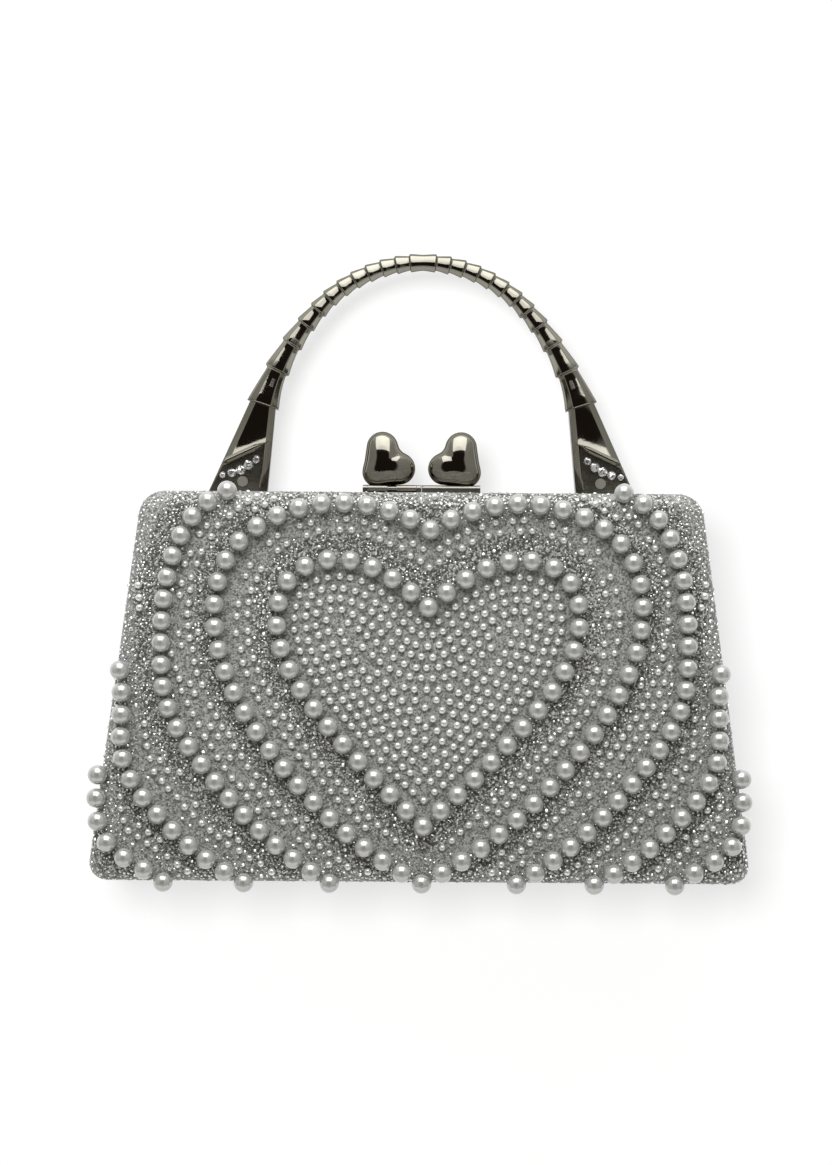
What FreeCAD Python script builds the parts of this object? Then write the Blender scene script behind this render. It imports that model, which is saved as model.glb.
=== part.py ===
"""Hard evening purse: two hinged half-shells set with pearl hearts, an arched handle and a heart clasp.

Frame: X across the purse, Y from the front face (-Y) to the back face (+Y), Z up.
Origin: under the middle of the purse, on the surface it stands on. Millimetres.
"""
import FreeCAD
import Part
import math
import os

from FreeCAD import Vector

os.makedirs("parts", exist_ok=True)

# Body of the purse, outside the beaded cover
body_top_width = 170.0
body_bottom_width = 202.0
body_height = 118.5
body_depth = 56.0
edge_round = 4.5
top_corner_core = 3.5
bottom_corner_core = 1.0

# Layers of each half, from the outside in
cover_thickness = 0.8
glue_line = 0.1
shell_wall = 2.0
lining_thickness = 0.8

# Metal frame round the mouth of each half
parting_gap = 0.3
frame_width = 4.0
frame_web = 1.0

# Pearls and the gap between neighbours of a row
pearl_diameter = 6.0
pearl_flat = 0.4
heart_row_gap = 0.9
border_row_gap = 0.5

# Small pearls that fill the inner heart, in rows that follow its outline
small_pearl_diameter = 2.4
small_pearl_flat = 0.8
small_pearl_gap = 0.9
small_first_row = 5.2
small_row_steps = 320
small_turn_steps = 60

# Bottom hinges
hinge_spread = 62.0
knuckle_length = 7.0
knuckle_diameter = 3.2
knuckle_gap = 0.2
hinge_pin_diameter = 1.5

# Clasp: two pinned tongues side by side, each on its own bracket and carrying a heart
clasp_width = 36.6
clasp_split = 0.3
bracket_thickness = 0.7
bracket_margin = 0.2
barrel_diameter = 2.1
clasp_pin_diameter = 0.8
clasp_pin_setback = 2.6
ear_thickness = 1.4
tongue_plate = 0.8
tongue_reach = 3.4
nib_width = 4.0
nib_depth = 0.5
nib_near = 1.6
nib_far = 2.4
spring_length = 2.6
spring_wire = 0.25
stud_diameter = 2.4
stud_head = 3.2
stud_head_height = 0.5
stud_grip = 4.0

# Puffed heart knob, lying on one side: two lobes and a blunt point
heart_upper_lobe = (6.0, 12.2, 4.9)
heart_inner_lobe = (11.3, 5.6, 5.0)
heart_point = (4.5, 4.5, 4.5)
heart_notch_radius = 4.0
heart_limb_step = 0.2
heart_seat = 0.4

# Arched handle
handle_height = 76.0
handle_setback = 8.6
crown_radius = 43.4
crown_turn = 46.5
leg_radius = 81.5
leg_turn = 76.0
crown_half = 3.0
crown_segments = 7
crown_segment = 4.95
leg_segments = 4
leg_segment = 6.05
leg_growth = 1.245
handle_top_width = 5.3
handle_leg_width = 9.6
handle_top_depth = 6.0
handle_leg_depth = 8.0
leg_flare = 3.6
handle_top_bevel = 1.8
handle_leg_bevel = 2.2
handle_bevel_slope = 0.55
segment_waist = 0.86
lip_length = 0.6
lip_rise = 1.05
foot_width = 18.6
foot_shift = 0.6
foot_depth = 9.0

# Raised blade, stone panel and rivet on each foot
blade_inner = (-9.0, 16.6)
blade_outer = (5.3, 9.9)
blade_width = 1.9
blade_ridge = 0.5
blade_proud = 0.6
blade_slope = 0.7
blade_shoulders = (0.3, 0.9)
panel_depth = 1.1
panel_ridge = 4.6
panel_reach = (0.12, 1.2)
stone_diameters = (2.4, 3.1, 3.1, 2.8, 2.0)
stone_row_start = 0.36
stone_row_end = 1.10
stone_drop = 3.6
stone_sag = 0.9
stone_seat = 0.9
stone_proud = 0.25
stone_crown = 0.3
stone_table = 0.55
rivet_offset = -1.1
rivet_height = 4.0
rivet_shank = 1.8
rivet_head = 3.3
rivet_head_height = 0.6
lug_width = 6.0
lug_thickness = 2.0
lug_reach = 6.8
lug_base_length = 12.0
lug_base_width = 6.0
lug_base_thickness = 1.2

# Clearances
fit_clearance = 0.1
pin_clearance = 0.05
running_clearance = 0.3
tolerance = 1e-6

# Worked out from the sizes above
pearl_radius = pearl_diameter / 2
pearl_seat = pearl_radius - pearl_flat
small_pearl_radius = small_pearl_diameter / 2
small_pearl_seat = small_pearl_radius - small_pearl_flat
small_pearl_step = small_pearl_diameter + small_pearl_gap
half_depth = body_depth / 2
half_gap = parting_gap / 2
body_bottom = pearl_radius
body_top = body_bottom + body_height
side_slope = (body_bottom_width - body_top_width) / 2 / body_height
side_stretch = math.hypot(1.0, side_slope)
shell_outer = cover_thickness + glue_line
shell_inner = shell_outer + shell_wall
lining_outer = shell_inner + glue_line
lining_inner = lining_outer + lining_thickness
frame_edge = half_gap + frame_width
shell_edge = half_gap + frame_web + fit_clearance
barrel_radius = barrel_diameter / 2
clasp_half = clasp_width / 2
bracket_top = body_top + bracket_thickness
clasp_axis_z = bracket_top + fit_clearance + barrel_radius
plate_top = clasp_axis_z + barrel_radius
plate_bottom = plate_top - tongue_plate

# Pearl rows on a face, as shares of the half-width and of the height, from the middle outwards
inner_heart = [(0.0, 0.706), (0.123, 0.777), (0.314, 0.827), (0.470, 0.783), (0.508, 0.679),
               (0.445, 0.537), (0.302, 0.392), (0.151, 0.264), (0.0, 0.147)]
outer_heart = [(0.0, 0.903), (0.144, 0.950), (0.303, 0.970), (0.535, 0.938), (0.684, 0.848),
               (0.722, 0.709), (0.638, 0.505), (0.461, 0.311), (0.260, 0.147), (0.0, 0.0)]
third_row = [(0.706, 1.0), (0.828, 0.921), (0.879, 0.785), (0.870, 0.590), (0.836, 0.466),
             (0.694, 0.298), (0.493, 0.129), (0.280, 0.0)]
fourth_row = [(0.983, 0.540), (0.954, 0.397), (0.934, 0.312), (0.808, 0.175), (0.695, 0.092),
              (0.525, 0.0)]
corner_row = [(1.008, 0.272), (1.000, 0.203), (0.978, 0.137), (0.940, 0.093), (0.851, 0.044),
              (0.766, 0.0)]
heart_shift = 0.8
heart_lean = 0.018
third_row_shift = 1.2


def half_width(height):
    """Half the width of the body at a height above its bottom edge."""
    return body_bottom_width / 2 - side_slope * height


def rounded_outline(corners, radii, y):
    """Closed wire in the plane y with each corner of a polygon rounded by its own radius."""
    edges = []
    starts = []
    ends = []
    for index, corner in enumerate(corners):
        towards_last = (corners[index - 1] - corner).normalize()
        towards_next = (corners[(index + 1) % len(corners)] - corner).normalize()
        half_angle = towards_last.getAngle(towards_next) / 2
        run = radii[index] / math.tan(half_angle)
        middle_way = (towards_last + towards_next).normalize()
        middle = corner + middle_way * (radii[index] / math.sin(half_angle) - radii[index])
        starts.append(corner + towards_last * run)
        ends.append(corner + towards_next * run)
        edges.append(Part.Arc(starts[-1], middle, ends[-1]).toShape())
    for index in range(len(corners)):
        following = (index + 1) % len(corners)
        edges.append(Part.LineSegment(ends[index], starts[following]).toShape())
    wire = Part.Wire(Part.__sortEdges__(edges))
    wire.translate(Vector(0, y, 0))
    return wire


def body_outline(inset, y):
    """Outline of the body, drawn in by an inset, in the plane y."""
    low = body_bottom + inset
    high = body_top - inset
    low_x = half_width(inset) - inset * side_stretch
    high_x = half_width(body_height - inset) - inset * side_stretch
    corners = [Vector(-low_x, 0, low), Vector(low_x, 0, low),
               Vector(high_x, 0, high), Vector(-high_x, 0, high)]
    bottom_radius = max(bottom_corner_core + edge_round - inset, bottom_corner_core / 2)
    top_radius = max(top_corner_core + edge_round - inset, top_corner_core / 2)
    return rounded_outline(corners, [bottom_radius, bottom_radius, top_radius, top_radius], y)


def half_block(inset, mouth):
    """Front half of the body, drawn in by an inset, with its face edge rounded, up to its mouth."""
    face_y = -half_depth + inset
    block = Part.Face(body_outline(inset, face_y)).extrude(Vector(0, -mouth - face_y, 0))
    radius = edge_round - inset
    if radius <= 0:
        return block
    rim = [edge for edge in block.Edges
           if all(abs(vertex.Point.y - face_y) < tolerance for vertex in edge.Vertexes)]
    return block.makeFillet(radius, rim)


def half_tray(outer_inset, inner_inset, mouth):
    """One layer of the front half: a tray open at the mouth."""
    return half_block(outer_inset, mouth).cut(half_block(inner_inset, 0))


def band(outer_inset, inner_inset, near, far):
    """A band round the front half between two depths measured from the parting plane."""
    outer = Part.Face(body_outline(outer_inset, -far)).extrude(Vector(0, far - near, 0))
    inner = Part.Face(body_outline(inner_inset, -far)).extrude(Vector(0, far - near, 0))
    return outer.cut(inner)


def to_back(shape):
    """The same piece on the back half."""
    return shape.mirror(Vector(0, 0, 0), Vector(0, 1, 0))


def to_right(shape):
    """The same clasp piece turned half round the upright axis, for the right half of the clasp."""
    turned = shape.copy()
    turned.rotate(Vector(0, 0, 0), Vector(0, 0, 1), 180)
    return turned


def to_left(shape):
    """The same handle piece on the left."""
    return shape.mirror(Vector(0, 0, 0), Vector(1, 0, 0))


def rod(radius, start, end):
    """A round bar between two points."""
    return Part.makeCylinder(radius, (end - start).Length, start, end - start)


def cuboid(low, high):
    """A block between two opposite corners."""
    size = high - low
    return Part.makeBox(size.x, size.y, size.z, low)


def knuckle_bars(radius, which, extra):
    """Round bars on the hinge axis at the chosen knuckles of both hinges."""
    bars = []
    for hinge_x in (-hinge_spread, hinge_spread):
        for place in which:
            middle = hinge_x + place * (knuckle_length + knuckle_gap)
            reach = knuckle_length / 2 + extra
            bars.append(rod(radius, Vector(middle - reach, 0, body_bottom),
                            Vector(middle + reach, 0, body_bottom)))
    return bars


back_knuckles = (-1, 1)
front_knuckles = (0,)
hinge_knuckles = back_knuckles + front_knuckles
hinge_room = knuckle_bars(knuckle_diameter / 2 + running_clearance, hinge_knuckles, knuckle_gap)


def clasp_axis(radius):
    """Round bar along the pin of the left tongue, over the whole of its width."""
    return rod(radius, Vector(-clasp_half, -clasp_pin_setback, clasp_axis_z),
               Vector(-clasp_split / 2, -clasp_pin_setback, clasp_axis_z))


def clasp_bracket():
    """Left bracket: a strip on top of the front frame with an ear at each end for the pin."""
    bracket = cuboid(Vector(-clasp_half, -frame_edge + bracket_margin, body_top),
                     Vector(-clasp_split / 2, -half_gap - bracket_margin, bracket_top))
    for start in (-clasp_half, -clasp_split / 2 - ear_thickness):
        axis_start = Vector(start, -clasp_pin_setback, clasp_axis_z)
        axis_end = Vector(start + ear_thickness, -clasp_pin_setback, clasp_axis_z)
        low = Vector(start, -clasp_pin_setback - barrel_radius, body_top)
        high = Vector(start + ear_thickness, -clasp_pin_setback + barrel_radius, clasp_axis_z)
        bracket = bracket.fuse([cuboid(low, high), rod(barrel_radius, axis_start, axis_end)])
    return bracket.cut(clasp_axis(clasp_pin_diameter / 2 + pin_clearance / 2))


clasp_middle = -(clasp_half + clasp_split / 2) / 2


def nib_notch():
    """Notch in the front frame, open to the mouth, for the nib of the right tongue."""
    reach = nib_width / 2 + running_clearance
    low = Vector(-clasp_middle - reach, -nib_far - running_clearance,
                 body_top - nib_depth - running_clearance)
    high = Vector(-clasp_middle + reach, 0, plate_top)
    return cuboid(low, high)


def mouth_frame(knuckles, other_knuckles):
    """Channel frame of the front half with its hinge knuckles and the notch for a nib."""
    channel = band(cover_thickness, lining_outer, half_gap + frame_web, frame_edge + frame_web)
    frame = band(0, lining_inner, half_gap, frame_edge).cut(channel)
    clear = knuckle_bars(knuckle_diameter / 2 + running_clearance, other_knuckles, knuckle_gap)
    bores = knuckle_bars(hinge_pin_diameter / 2 + pin_clearance, knuckles, knuckle_gap)
    barrels = knuckle_bars(knuckle_diameter / 2, knuckles, 0)
    return frame.cut(clear).fuse(barrels).cut(bores + [nib_notch()])


def hinge_pins():
    """One pin through the three knuckles of each hinge."""
    reach = (knuckle_length + knuckle_gap) * len(hinge_knuckles) / 2
    pins = [rod(hinge_pin_diameter / 2, Vector(x - reach, 0, body_bottom),
                Vector(x + reach, 0, body_bottom)) for x in (-hinge_spread, hinge_spread)]
    return Part.makeCompound(pins)


flat_of_face = Part.Face(body_outline(edge_round, 0))


def pearl(x, height, radius, seat):
    """A flat-backed pearl on the front half, seated where its centre is seen from the front."""
    seen = Vector(x, 0, body_bottom + height)
    distance, pairs, details = Part.Vertex(seen).distToShape(flat_of_face)
    reach = edge_round + seat
    across = min(distance / reach, 1.0)
    outward = Vector(0, 0, 0)
    edge_point = seen
    if distance > tolerance:
        edge_point = pairs[0][1]
        outward = (seen - edge_point).normalize()
    normal = outward * across + Vector(0, -math.sqrt(1 - across * across), 0)
    round_centre = Vector(edge_point.x, -half_depth + edge_round, edge_point.z)
    lowest_turn = -math.degrees(math.asin(seat / radius))
    return Part.makeSphere(radius, round_centre + normal * reach, normal, lowest_turn, 90, 360)


def row_line(shares):
    """Smooth line of one half of a row, in millimetres on the face."""
    points = [Vector(share * half_width(rise * body_height), 0, rise * body_height)
              for share, rise in shares]
    curve = Part.BSplineCurve()
    curve.interpolate(points)
    return curve.toShape()


def row_points(shares, gap):
    """Evenly spaced pearl places along one half of a row."""
    line = row_line(shares)
    count = max(2, round(line.Length / (pearl_diameter + gap)))
    return [(point.x, point.z) for point in line.discretize(Number=count + 1)]


def moved(places, shift, lean):
    """A row that sits a little to the right of the middle, more so towards the top, as set by hand."""
    return [(x + shift + lean * height, height) for x, height in places]


def both_sides(places):
    """Places of a half row and of its mirror image, each place on the middle line once."""
    mirrored = [(-x, height) for x, height in places if x > tolerance]
    return places + mirrored


def heart_filling():
    """Places of the small pearls in one half of the inner heart, row by row inwards."""
    line = row_line(inner_heart).discretize(Number=small_row_steps)
    ways = [(after - before).normalize() for before, after in zip(line, line[1:])]
    inwards = [(point, Vector(way.z, 0, -way.x)) for point, way in zip(line, ways)]
    notch, notch_way = inwards[0]
    turns = [index / small_turn_steps for index in range(small_turn_steps)]
    inwards = [(notch, (Vector(0, 0, -1) * (1 - turn) + notch_way * turn).normalize())
               for turn in turns] + inwards
    filled = []
    drop = small_first_row
    found = True
    while found:
        found = False
        for point, way in inwards:
            place = point + way * drop
            if abs(place.x) < small_pearl_step / 4:
                place.x = 0
            inside = place.x == 0 or place.x >= small_pearl_step / 2
            if (inside and min(place.distanceToPoint(node) for node in line) > drop - fit_clearance
                    and all(place.distanceToPoint(other) > small_pearl_step for other in filled)):
                filled.append(place)
                found = True
        drop += small_pearl_step
    return [(place.x, place.z) for place in filled]


def pearl_group(places, radius, seat):
    """Separate pearls at the given places."""
    return Part.makeCompound([pearl(x, height, radius, seat) for x, height in places])


def pearl_rows():
    """The pearls of the front: five rows, those of the bottom edge, and the filling of the heart."""
    rows = {
        "inner_heart_pearls": moved(both_sides(row_points(inner_heart, heart_row_gap)),
                                    heart_shift, heart_lean),
        "outer_heart_pearls": moved(both_sides(row_points(outer_heart, heart_row_gap)),
                                    heart_shift, heart_lean),
        "third_row_pearls": moved(both_sides(row_points(third_row, border_row_gap)),
                                  third_row_shift, 0),
        "fourth_row_pearls": both_sides(row_points(fourth_row, border_row_gap)),
        "corner_pearls": both_sides(row_points(corner_row, border_row_gap)),
    }
    base = []
    for name, places in rows.items():
        base += [(x, 0.0) for x, height in places if abs(height) < tolerance]
        rows[name] = [place for place in places if abs(place[1]) >= tolerance]
    rows["base_pearls"] = base
    groups = {name: pearl_group(places, pearl_radius, pearl_seat) for name, places in rows.items()}
    filling = moved(both_sides(heart_filling()), heart_shift, heart_lean)
    groups["small_heart_pearls"] = pearl_group(filling, small_pearl_radius, small_pearl_seat)
    return groups


def capsule(first, second):
    """A round limb between two balls, each given as place across, place up and radius."""
    start = Vector(first[0], 0, first[1])
    end = Vector(second[0], 0, second[1])
    along = (end - start).normalize()
    aside = Vector(-along.z, 0, along.x)
    touch = math.acos((first[2] - second[2]) / (end - start).Length)

    def on_ball(centre, radius, turn):
        return centre + (along * math.cos(turn) + aside * math.sin(turn)) * radius

    first_arc = Part.Arc(on_ball(start, first[2], math.pi),
                         on_ball(start, first[2], (math.pi + touch) / 2),
                         on_ball(start, first[2], touch))
    second_arc = Part.Arc(on_ball(end, second[2], touch), on_ball(end, second[2], touch / 2),
                          on_ball(end, second[2], 0))
    side = Part.LineSegment(on_ball(start, first[2], touch), on_ball(end, second[2], touch))
    axis = Part.LineSegment(on_ball(end, second[2], 0), on_ball(start, first[2], math.pi))
    profile = Part.Wire([first_arc.toShape(), side.toShape(), second_arc.toShape(), axis.toShape()])
    return Part.Face(profile).revolve(start, along, 360)


heart_base = plate_top - heart_seat
stud_x = -clasp_half + (heart_point[0] + heart_inner_lobe[0]) / 2


def heart_knob():
    """Left heart: two round limbs meeting at the blunt point, filled at the notch, on a flat seat."""
    inner_point = heart_point[:2] + (heart_point[2] - heart_limb_step,)
    upper_notch = heart_upper_lobe[:2] + (heart_notch_radius,)
    inner_notch = heart_inner_lobe[:2] + (heart_notch_radius,)
    heart = capsule(heart_upper_lobe, heart_point).fuse(
        [capsule(heart_inner_lobe, inner_point), capsule(upper_notch, inner_notch)])
    heart.translate(Vector(-clasp_half, 0, heart_base))
    below = cuboid(Vector(-clasp_width, -clasp_width, heart_base - clasp_width),
                   Vector(clasp_width, clasp_width, plate_top))
    hole = rod(stud_diameter / 2 + pin_clearance, Vector(stud_x, 0, plate_bottom),
               Vector(stud_x, 0, plate_top + stud_grip + fit_clearance))
    return heart.cut([below, hole])


def heart_stud():
    """Left stud: a shank up into the heart and a head under the tongue."""
    shank = rod(stud_diameter / 2, Vector(stud_x, 0, plate_bottom),
                Vector(stud_x, 0, plate_top + stud_grip))
    head = rod(stud_head / 2, Vector(stud_x, 0, plate_bottom - stud_head_height),
               Vector(stud_x, 0, plate_bottom))
    return shank.fuse(head)


def clasp_tongue():
    """Left tongue: a rolled barrel on the pin, a plate over the mouth, a turned-down lip and a nib."""
    start = -clasp_half
    end = -clasp_split / 2
    barrel_start = start + ear_thickness + fit_clearance
    barrel_end = end - ear_thickness - fit_clearance
    ear_back = -clasp_pin_setback + barrel_radius + running_clearance
    barrel = rod(barrel_radius, Vector(barrel_start, -clasp_pin_setback, clasp_axis_z),
                 Vector(barrel_end, -clasp_pin_setback, clasp_axis_z))
    root = cuboid(Vector(barrel_start, -clasp_pin_setback, plate_bottom),
                  Vector(barrel_end, ear_back, plate_top))
    plate = cuboid(Vector(start, ear_back, plate_bottom), Vector(end, tongue_reach, plate_top))
    lip = cuboid(Vector(start, tongue_reach - tongue_plate, body_top + running_clearance),
                 Vector(end, tongue_reach, plate_bottom))
    nib = cuboid(Vector(clasp_middle - nib_width / 2, nib_near, body_top - nib_depth),
                 Vector(clasp_middle + nib_width / 2, nib_far, plate_bottom))
    spring_reach = spring_length / 2 + fit_clearance
    spring_room = rod(barrel_radius + fit_clearance,
                      Vector(clasp_middle - spring_reach, -clasp_pin_setback, clasp_axis_z),
                      Vector(clasp_middle + spring_reach, -clasp_pin_setback, clasp_axis_z))
    stud_hole = rod(stud_diameter / 2 + pin_clearance, Vector(stud_x, 0, body_top),
                    Vector(stud_x, 0, plate_top))
    bore = clasp_axis(clasp_pin_diameter / 2 + pin_clearance)
    return barrel.fuse([root, plate, lip, nib]).cut([spring_room, stud_hole, bore])


def clasp_pin():
    """Left pin, through both ears and the barrel."""
    return clasp_axis(clasp_pin_diameter / 2)


def clasp_spring():
    """Left return spring: its close-wound turns as one sleeve on the pin."""
    start = Vector(clasp_middle - spring_length / 2, -clasp_pin_setback, clasp_axis_z)
    end = Vector(clasp_middle + spring_length / 2, -clasp_pin_setback, clasp_axis_z)
    inner = clasp_pin_diameter / 2 + pin_clearance
    return rod(inner + spring_wire, start, end).cut(rod(inner, start, end))


crown_angle = math.radians(crown_turn)
leg_angle = math.radians(leg_turn)
crown_length = crown_radius * crown_angle
leg_length = leg_radius * (leg_angle - crown_angle)
crown_top = body_top + handle_height - handle_top_width / 2
crown_end = (crown_radius * math.sin(crown_angle),
             crown_top - crown_radius * (1 - math.cos(crown_angle)))
leg_end = (crown_end[0] + leg_radius * (math.sin(leg_angle) - math.sin(crown_angle)),
           crown_end[1] + leg_radius * (math.cos(leg_angle) - math.cos(crown_angle)))
foot_x = leg_end[0] + (leg_end[1] - body_top) / math.tan(leg_angle)


def arch(distance):
    """Centre of the handle, and its slope, at a distance from its top along the right leg."""
    if distance <= crown_length:
        slope = distance / crown_radius
        x = crown_radius * math.sin(slope)
        z = crown_top - crown_radius * (1 - math.cos(slope))
    elif distance <= crown_length + leg_length:
        slope = crown_angle + (distance - crown_length) / leg_radius
        x = crown_end[0] + leg_radius * (math.sin(slope) - math.sin(crown_angle))
        z = crown_end[1] + leg_radius * (math.cos(slope) - math.cos(crown_angle))
    else:
        slope = leg_angle
        x = leg_end[0] + (distance - crown_length - leg_length) * math.cos(slope)
        z = leg_end[1] - (distance - crown_length - leg_length) * math.sin(slope)
    return Vector(x, handle_setback, z), slope


def bevelled_section(centre, slope, width, depth, bevel):
    """Eight-sided section of the handle, square to its centre line."""
    across = Vector(math.sin(slope), 0, math.cos(slope))
    half_across = width / 2
    half_deep = depth / 2
    places = [(half_across, half_deep - bevel * handle_bevel_slope), (half_across - bevel, half_deep)]
    places += [(-u, v) for u, v in reversed(places)]
    places += [(-u, -v) for u, v in places]
    corners = [centre + across * u + Vector(0, v, 0) for u, v in places]
    return Part.makePolygon(corners + corners[:1])


segment_ends = [crown_half]
for index in range(crown_segments):
    segment_ends.append(segment_ends[-1] + crown_segment)
for index in range(leg_segments):
    segment_ends.append(segment_ends[-1] + leg_segment * leg_growth ** index)


def handle_section(distance, waist):
    """Section of the handle at a distance from its top, drawn in at the start of a segment."""
    share = (distance / segment_ends[-1]) ** leg_flare
    width = handle_top_width + (handle_leg_width - handle_top_width) * share
    depth = handle_top_depth + (handle_leg_depth - handle_top_depth) * share
    bevel = handle_top_bevel + (handle_leg_bevel - handle_top_bevel) * share
    centre, slope = arch(distance)
    return bevelled_section(centre, slope, width * waist, depth * waist, bevel * waist)


def on_foot(place, y):
    """A point on the right foot, given across from its middle and up from the purse."""
    return Vector(foot_x + place[0], y, body_top + place[1])


foot_front = handle_setback - foot_depth / 2
foot_back = foot_front + foot_depth
panel_floor = foot_front + panel_depth
rivet_back = foot_back - panel_depth
rivet_place = (rivet_offset, rivet_height)
blade_run = (blade_outer[0] - blade_inner[0], blade_outer[1] - blade_inner[1])
blade_length = math.hypot(blade_run[0], blade_run[1])
blade_way = (blade_run[0] / blade_length, blade_run[1] / blade_length)
below_blade = (blade_way[1], -blade_way[0])


def beside_blade(share, drop):
    """A place on the foot at a share of the blade's length and a distance below it."""
    return (blade_inner[0] + blade_run[0] * share + below_blade[0] * drop,
            blade_inner[1] + blade_run[1] * share + below_blade[1] * drop)


def foot_polygon(places, y):
    """A straight-sided outline on the foot, at a depth."""
    corners = [on_foot(place, y) for place in places]
    return Part.makePolygon(corners + corners[:1])


def prism(places, front, back):
    """A block with a straight-sided outline on the foot, between two depths."""
    return Part.Face(foot_polygon(places, front)).extrude(Vector(0, back - front, 0))


def blade_outline(side):
    """Outline of the blade, pointed at both ends, with a half-width."""
    near, far = blade_shoulders
    return [beside_blade(0, 0), beside_blade(near, side), beside_blade(far, side),
            beside_blade(1, 0), beside_blade(far, -side), beside_blade(near, -side)]


def foot_blade():
    """Raised blade across the foot, sloping on both sides to a narrow ridge."""
    top = foot_front - blade_proud
    shoulder = top + blade_slope
    wide = blade_outline(blade_width / 2)
    ridge = Part.makeLoft([foot_polygon(wide, shoulder),
                           foot_polygon(blade_outline(blade_ridge / 2), top)], True, True)
    return prism(wide, shoulder, handle_setback).fuse(ridge)


def stone_panel():
    """Room in front of the stone panel, under the blade and outside the foot's inner ridge."""
    top, far = [beside_blade(share, blade_width / 2) for share in panel_reach]
    outline = [top, far, (foot_width, far[1]), (foot_width, -foot_width),
               (foot_shift - foot_width / 2 + panel_ridge, -foot_width)]
    return prism(outline, foot_front - foot_depth, panel_floor)


def stone_places():
    """Places and diameters of the five stones of the right foot."""
    last = len(stone_diameters) - 1
    places = []
    for index, diameter in enumerate(stone_diameters):
        share = stone_row_start + (stone_row_end - stone_row_start) * index / last
        drop = stone_drop + stone_sag * math.sin(math.pi * index / last)
        places.append((beside_blade(share, drop), diameter))
    return places


def handle_half():
    """Right half of the handle: half the crown piece, the stepped segments with their lips, the foot."""
    pieces = [Part.makeLoft([handle_section(0, segment_waist), handle_section(crown_half, 1)], True, True)]
    for start, end in zip(segment_ends[:-1], segment_ends[1:]):
        sections = [handle_section(start, segment_waist), handle_section(end, 1)]
        pieces.append(Part.makeLoft(sections, True, True))
    for end in segment_ends:
        lip = [handle_section(end - lip_length, lip_rise), handle_section(end, lip_rise)]
        pieces.append(Part.makeLoft(lip, True, True))
    sole = bevelled_section(on_foot((foot_shift, 0), handle_setback), math.pi / 2, foot_width,
                            foot_depth, handle_leg_bevel)
    foot = Part.makeLoft([handle_section(segment_ends[-1], segment_waist), sole], True, True)
    seats = [rod(diameter / 2 + pin_clearance, on_foot(place, panel_floor - fit_clearance),
                 on_foot(place, panel_floor + stone_seat))
             for place, diameter in stone_places()]
    foot = foot.cut(stone_panel()).fuse(foot_blade())
    slot_half = lug_width / 2 + fit_clearance
    slot_low = on_foot((rivet_offset - slot_half, -fit_clearance),
                       handle_setback - lug_thickness / 2 - fit_clearance)
    slot_high = on_foot((rivet_offset + slot_half, lug_reach + fit_clearance),
                        handle_setback + lug_thickness / 2 + fit_clearance)
    rivet_hole = rod(rivet_shank / 2 + pin_clearance, on_foot(rivet_place, foot_front),
                     on_foot(rivet_place, foot_back))
    sunk_head = rod(rivet_head / 2 + fit_clearance, on_foot(rivet_place, rivet_back),
                    on_foot(rivet_place, foot_back + panel_depth))
    foot = foot.cut(seats + [cuboid(slot_low, slot_high), rivet_hole, sunk_head])
    return pieces[0].fuse(pieces[1:] + [foot])


def handle():
    """The whole handle, one casting."""
    half = handle_half()
    return half.fuse(to_left(half))


def handle_rivets():
    """One rivet through each foot and its lug."""
    shank = rod(rivet_shank / 2, on_foot(rivet_place, panel_floor - rivet_head_height),
                on_foot(rivet_place, rivet_back + rivet_head_height))
    front_head = rod(rivet_head / 2, on_foot(rivet_place, panel_floor - rivet_head_height),
                     on_foot(rivet_place, panel_floor))
    back_head = rod(rivet_head / 2, on_foot(rivet_place, rivet_back),
                    on_foot(rivet_place, rivet_back + rivet_head_height))
    rivet = shank.fuse([front_head, back_head])
    return Part.makeCompound([rivet, to_left(rivet)])


lug_shelf = body_top - shell_inner + lug_base_thickness


def lug_blocks(clearance):
    """Base and tab of the right lug, grown by a clearance where they make room for it."""
    base_low = Vector(foot_x + rivet_offset - lug_base_length / 2 - clearance,
                      handle_setback - lug_base_width / 2 - clearance, body_top - shell_inner - clearance)
    base_high = Vector(foot_x + rivet_offset + lug_base_length / 2 + clearance,
                       handle_setback + lug_base_width / 2 + clearance, lug_shelf)
    tab_low = Vector(foot_x + rivet_offset - lug_width / 2 - clearance,
                     handle_setback - lug_thickness / 2 - clearance, lug_shelf - lug_base_thickness / 2)
    tab_high = Vector(foot_x + rivet_offset + lug_width / 2 + clearance,
                      handle_setback + lug_thickness / 2 + clearance, body_top + lug_reach)
    return [cuboid(base_low, base_high), cuboid(tab_low, tab_high)]


def handle_lugs():
    """One lug for each foot: a base let into the back shell and a tab up through the cover."""
    base, tab = lug_blocks(0)
    hole = rod(rivet_shank / 2 + pin_clearance, on_foot(rivet_place, foot_front),
               on_foot(rivet_place, foot_back))
    lug = base.fuse(tab).cut(hole)
    return Part.makeCompound([lug, to_left(lug)])


def lug_room():
    """Room for both lugs in the back shell and the back cover."""
    blocks = lug_blocks(fit_clearance)
    return blocks + [to_left(block) for block in blocks]


def handle_stones():
    """Clear stones of the right foot, each with a girdle in its seat, a crown and a table."""
    stones = []
    for place, diameter in stone_places():
        girdle = panel_floor - stone_proud
        table = girdle - stone_crown * diameter
        body = rod(diameter / 2, on_foot(place, girdle), on_foot(place, panel_floor + stone_seat))
        crown = Part.makeCone(diameter / 2, diameter / 2 * stone_table, girdle - table,
                              on_foot(place, girdle), Vector(0, -1, 0))
        stones.append(body.fuse(crown))
    return Part.makeCompound(stones)


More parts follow.
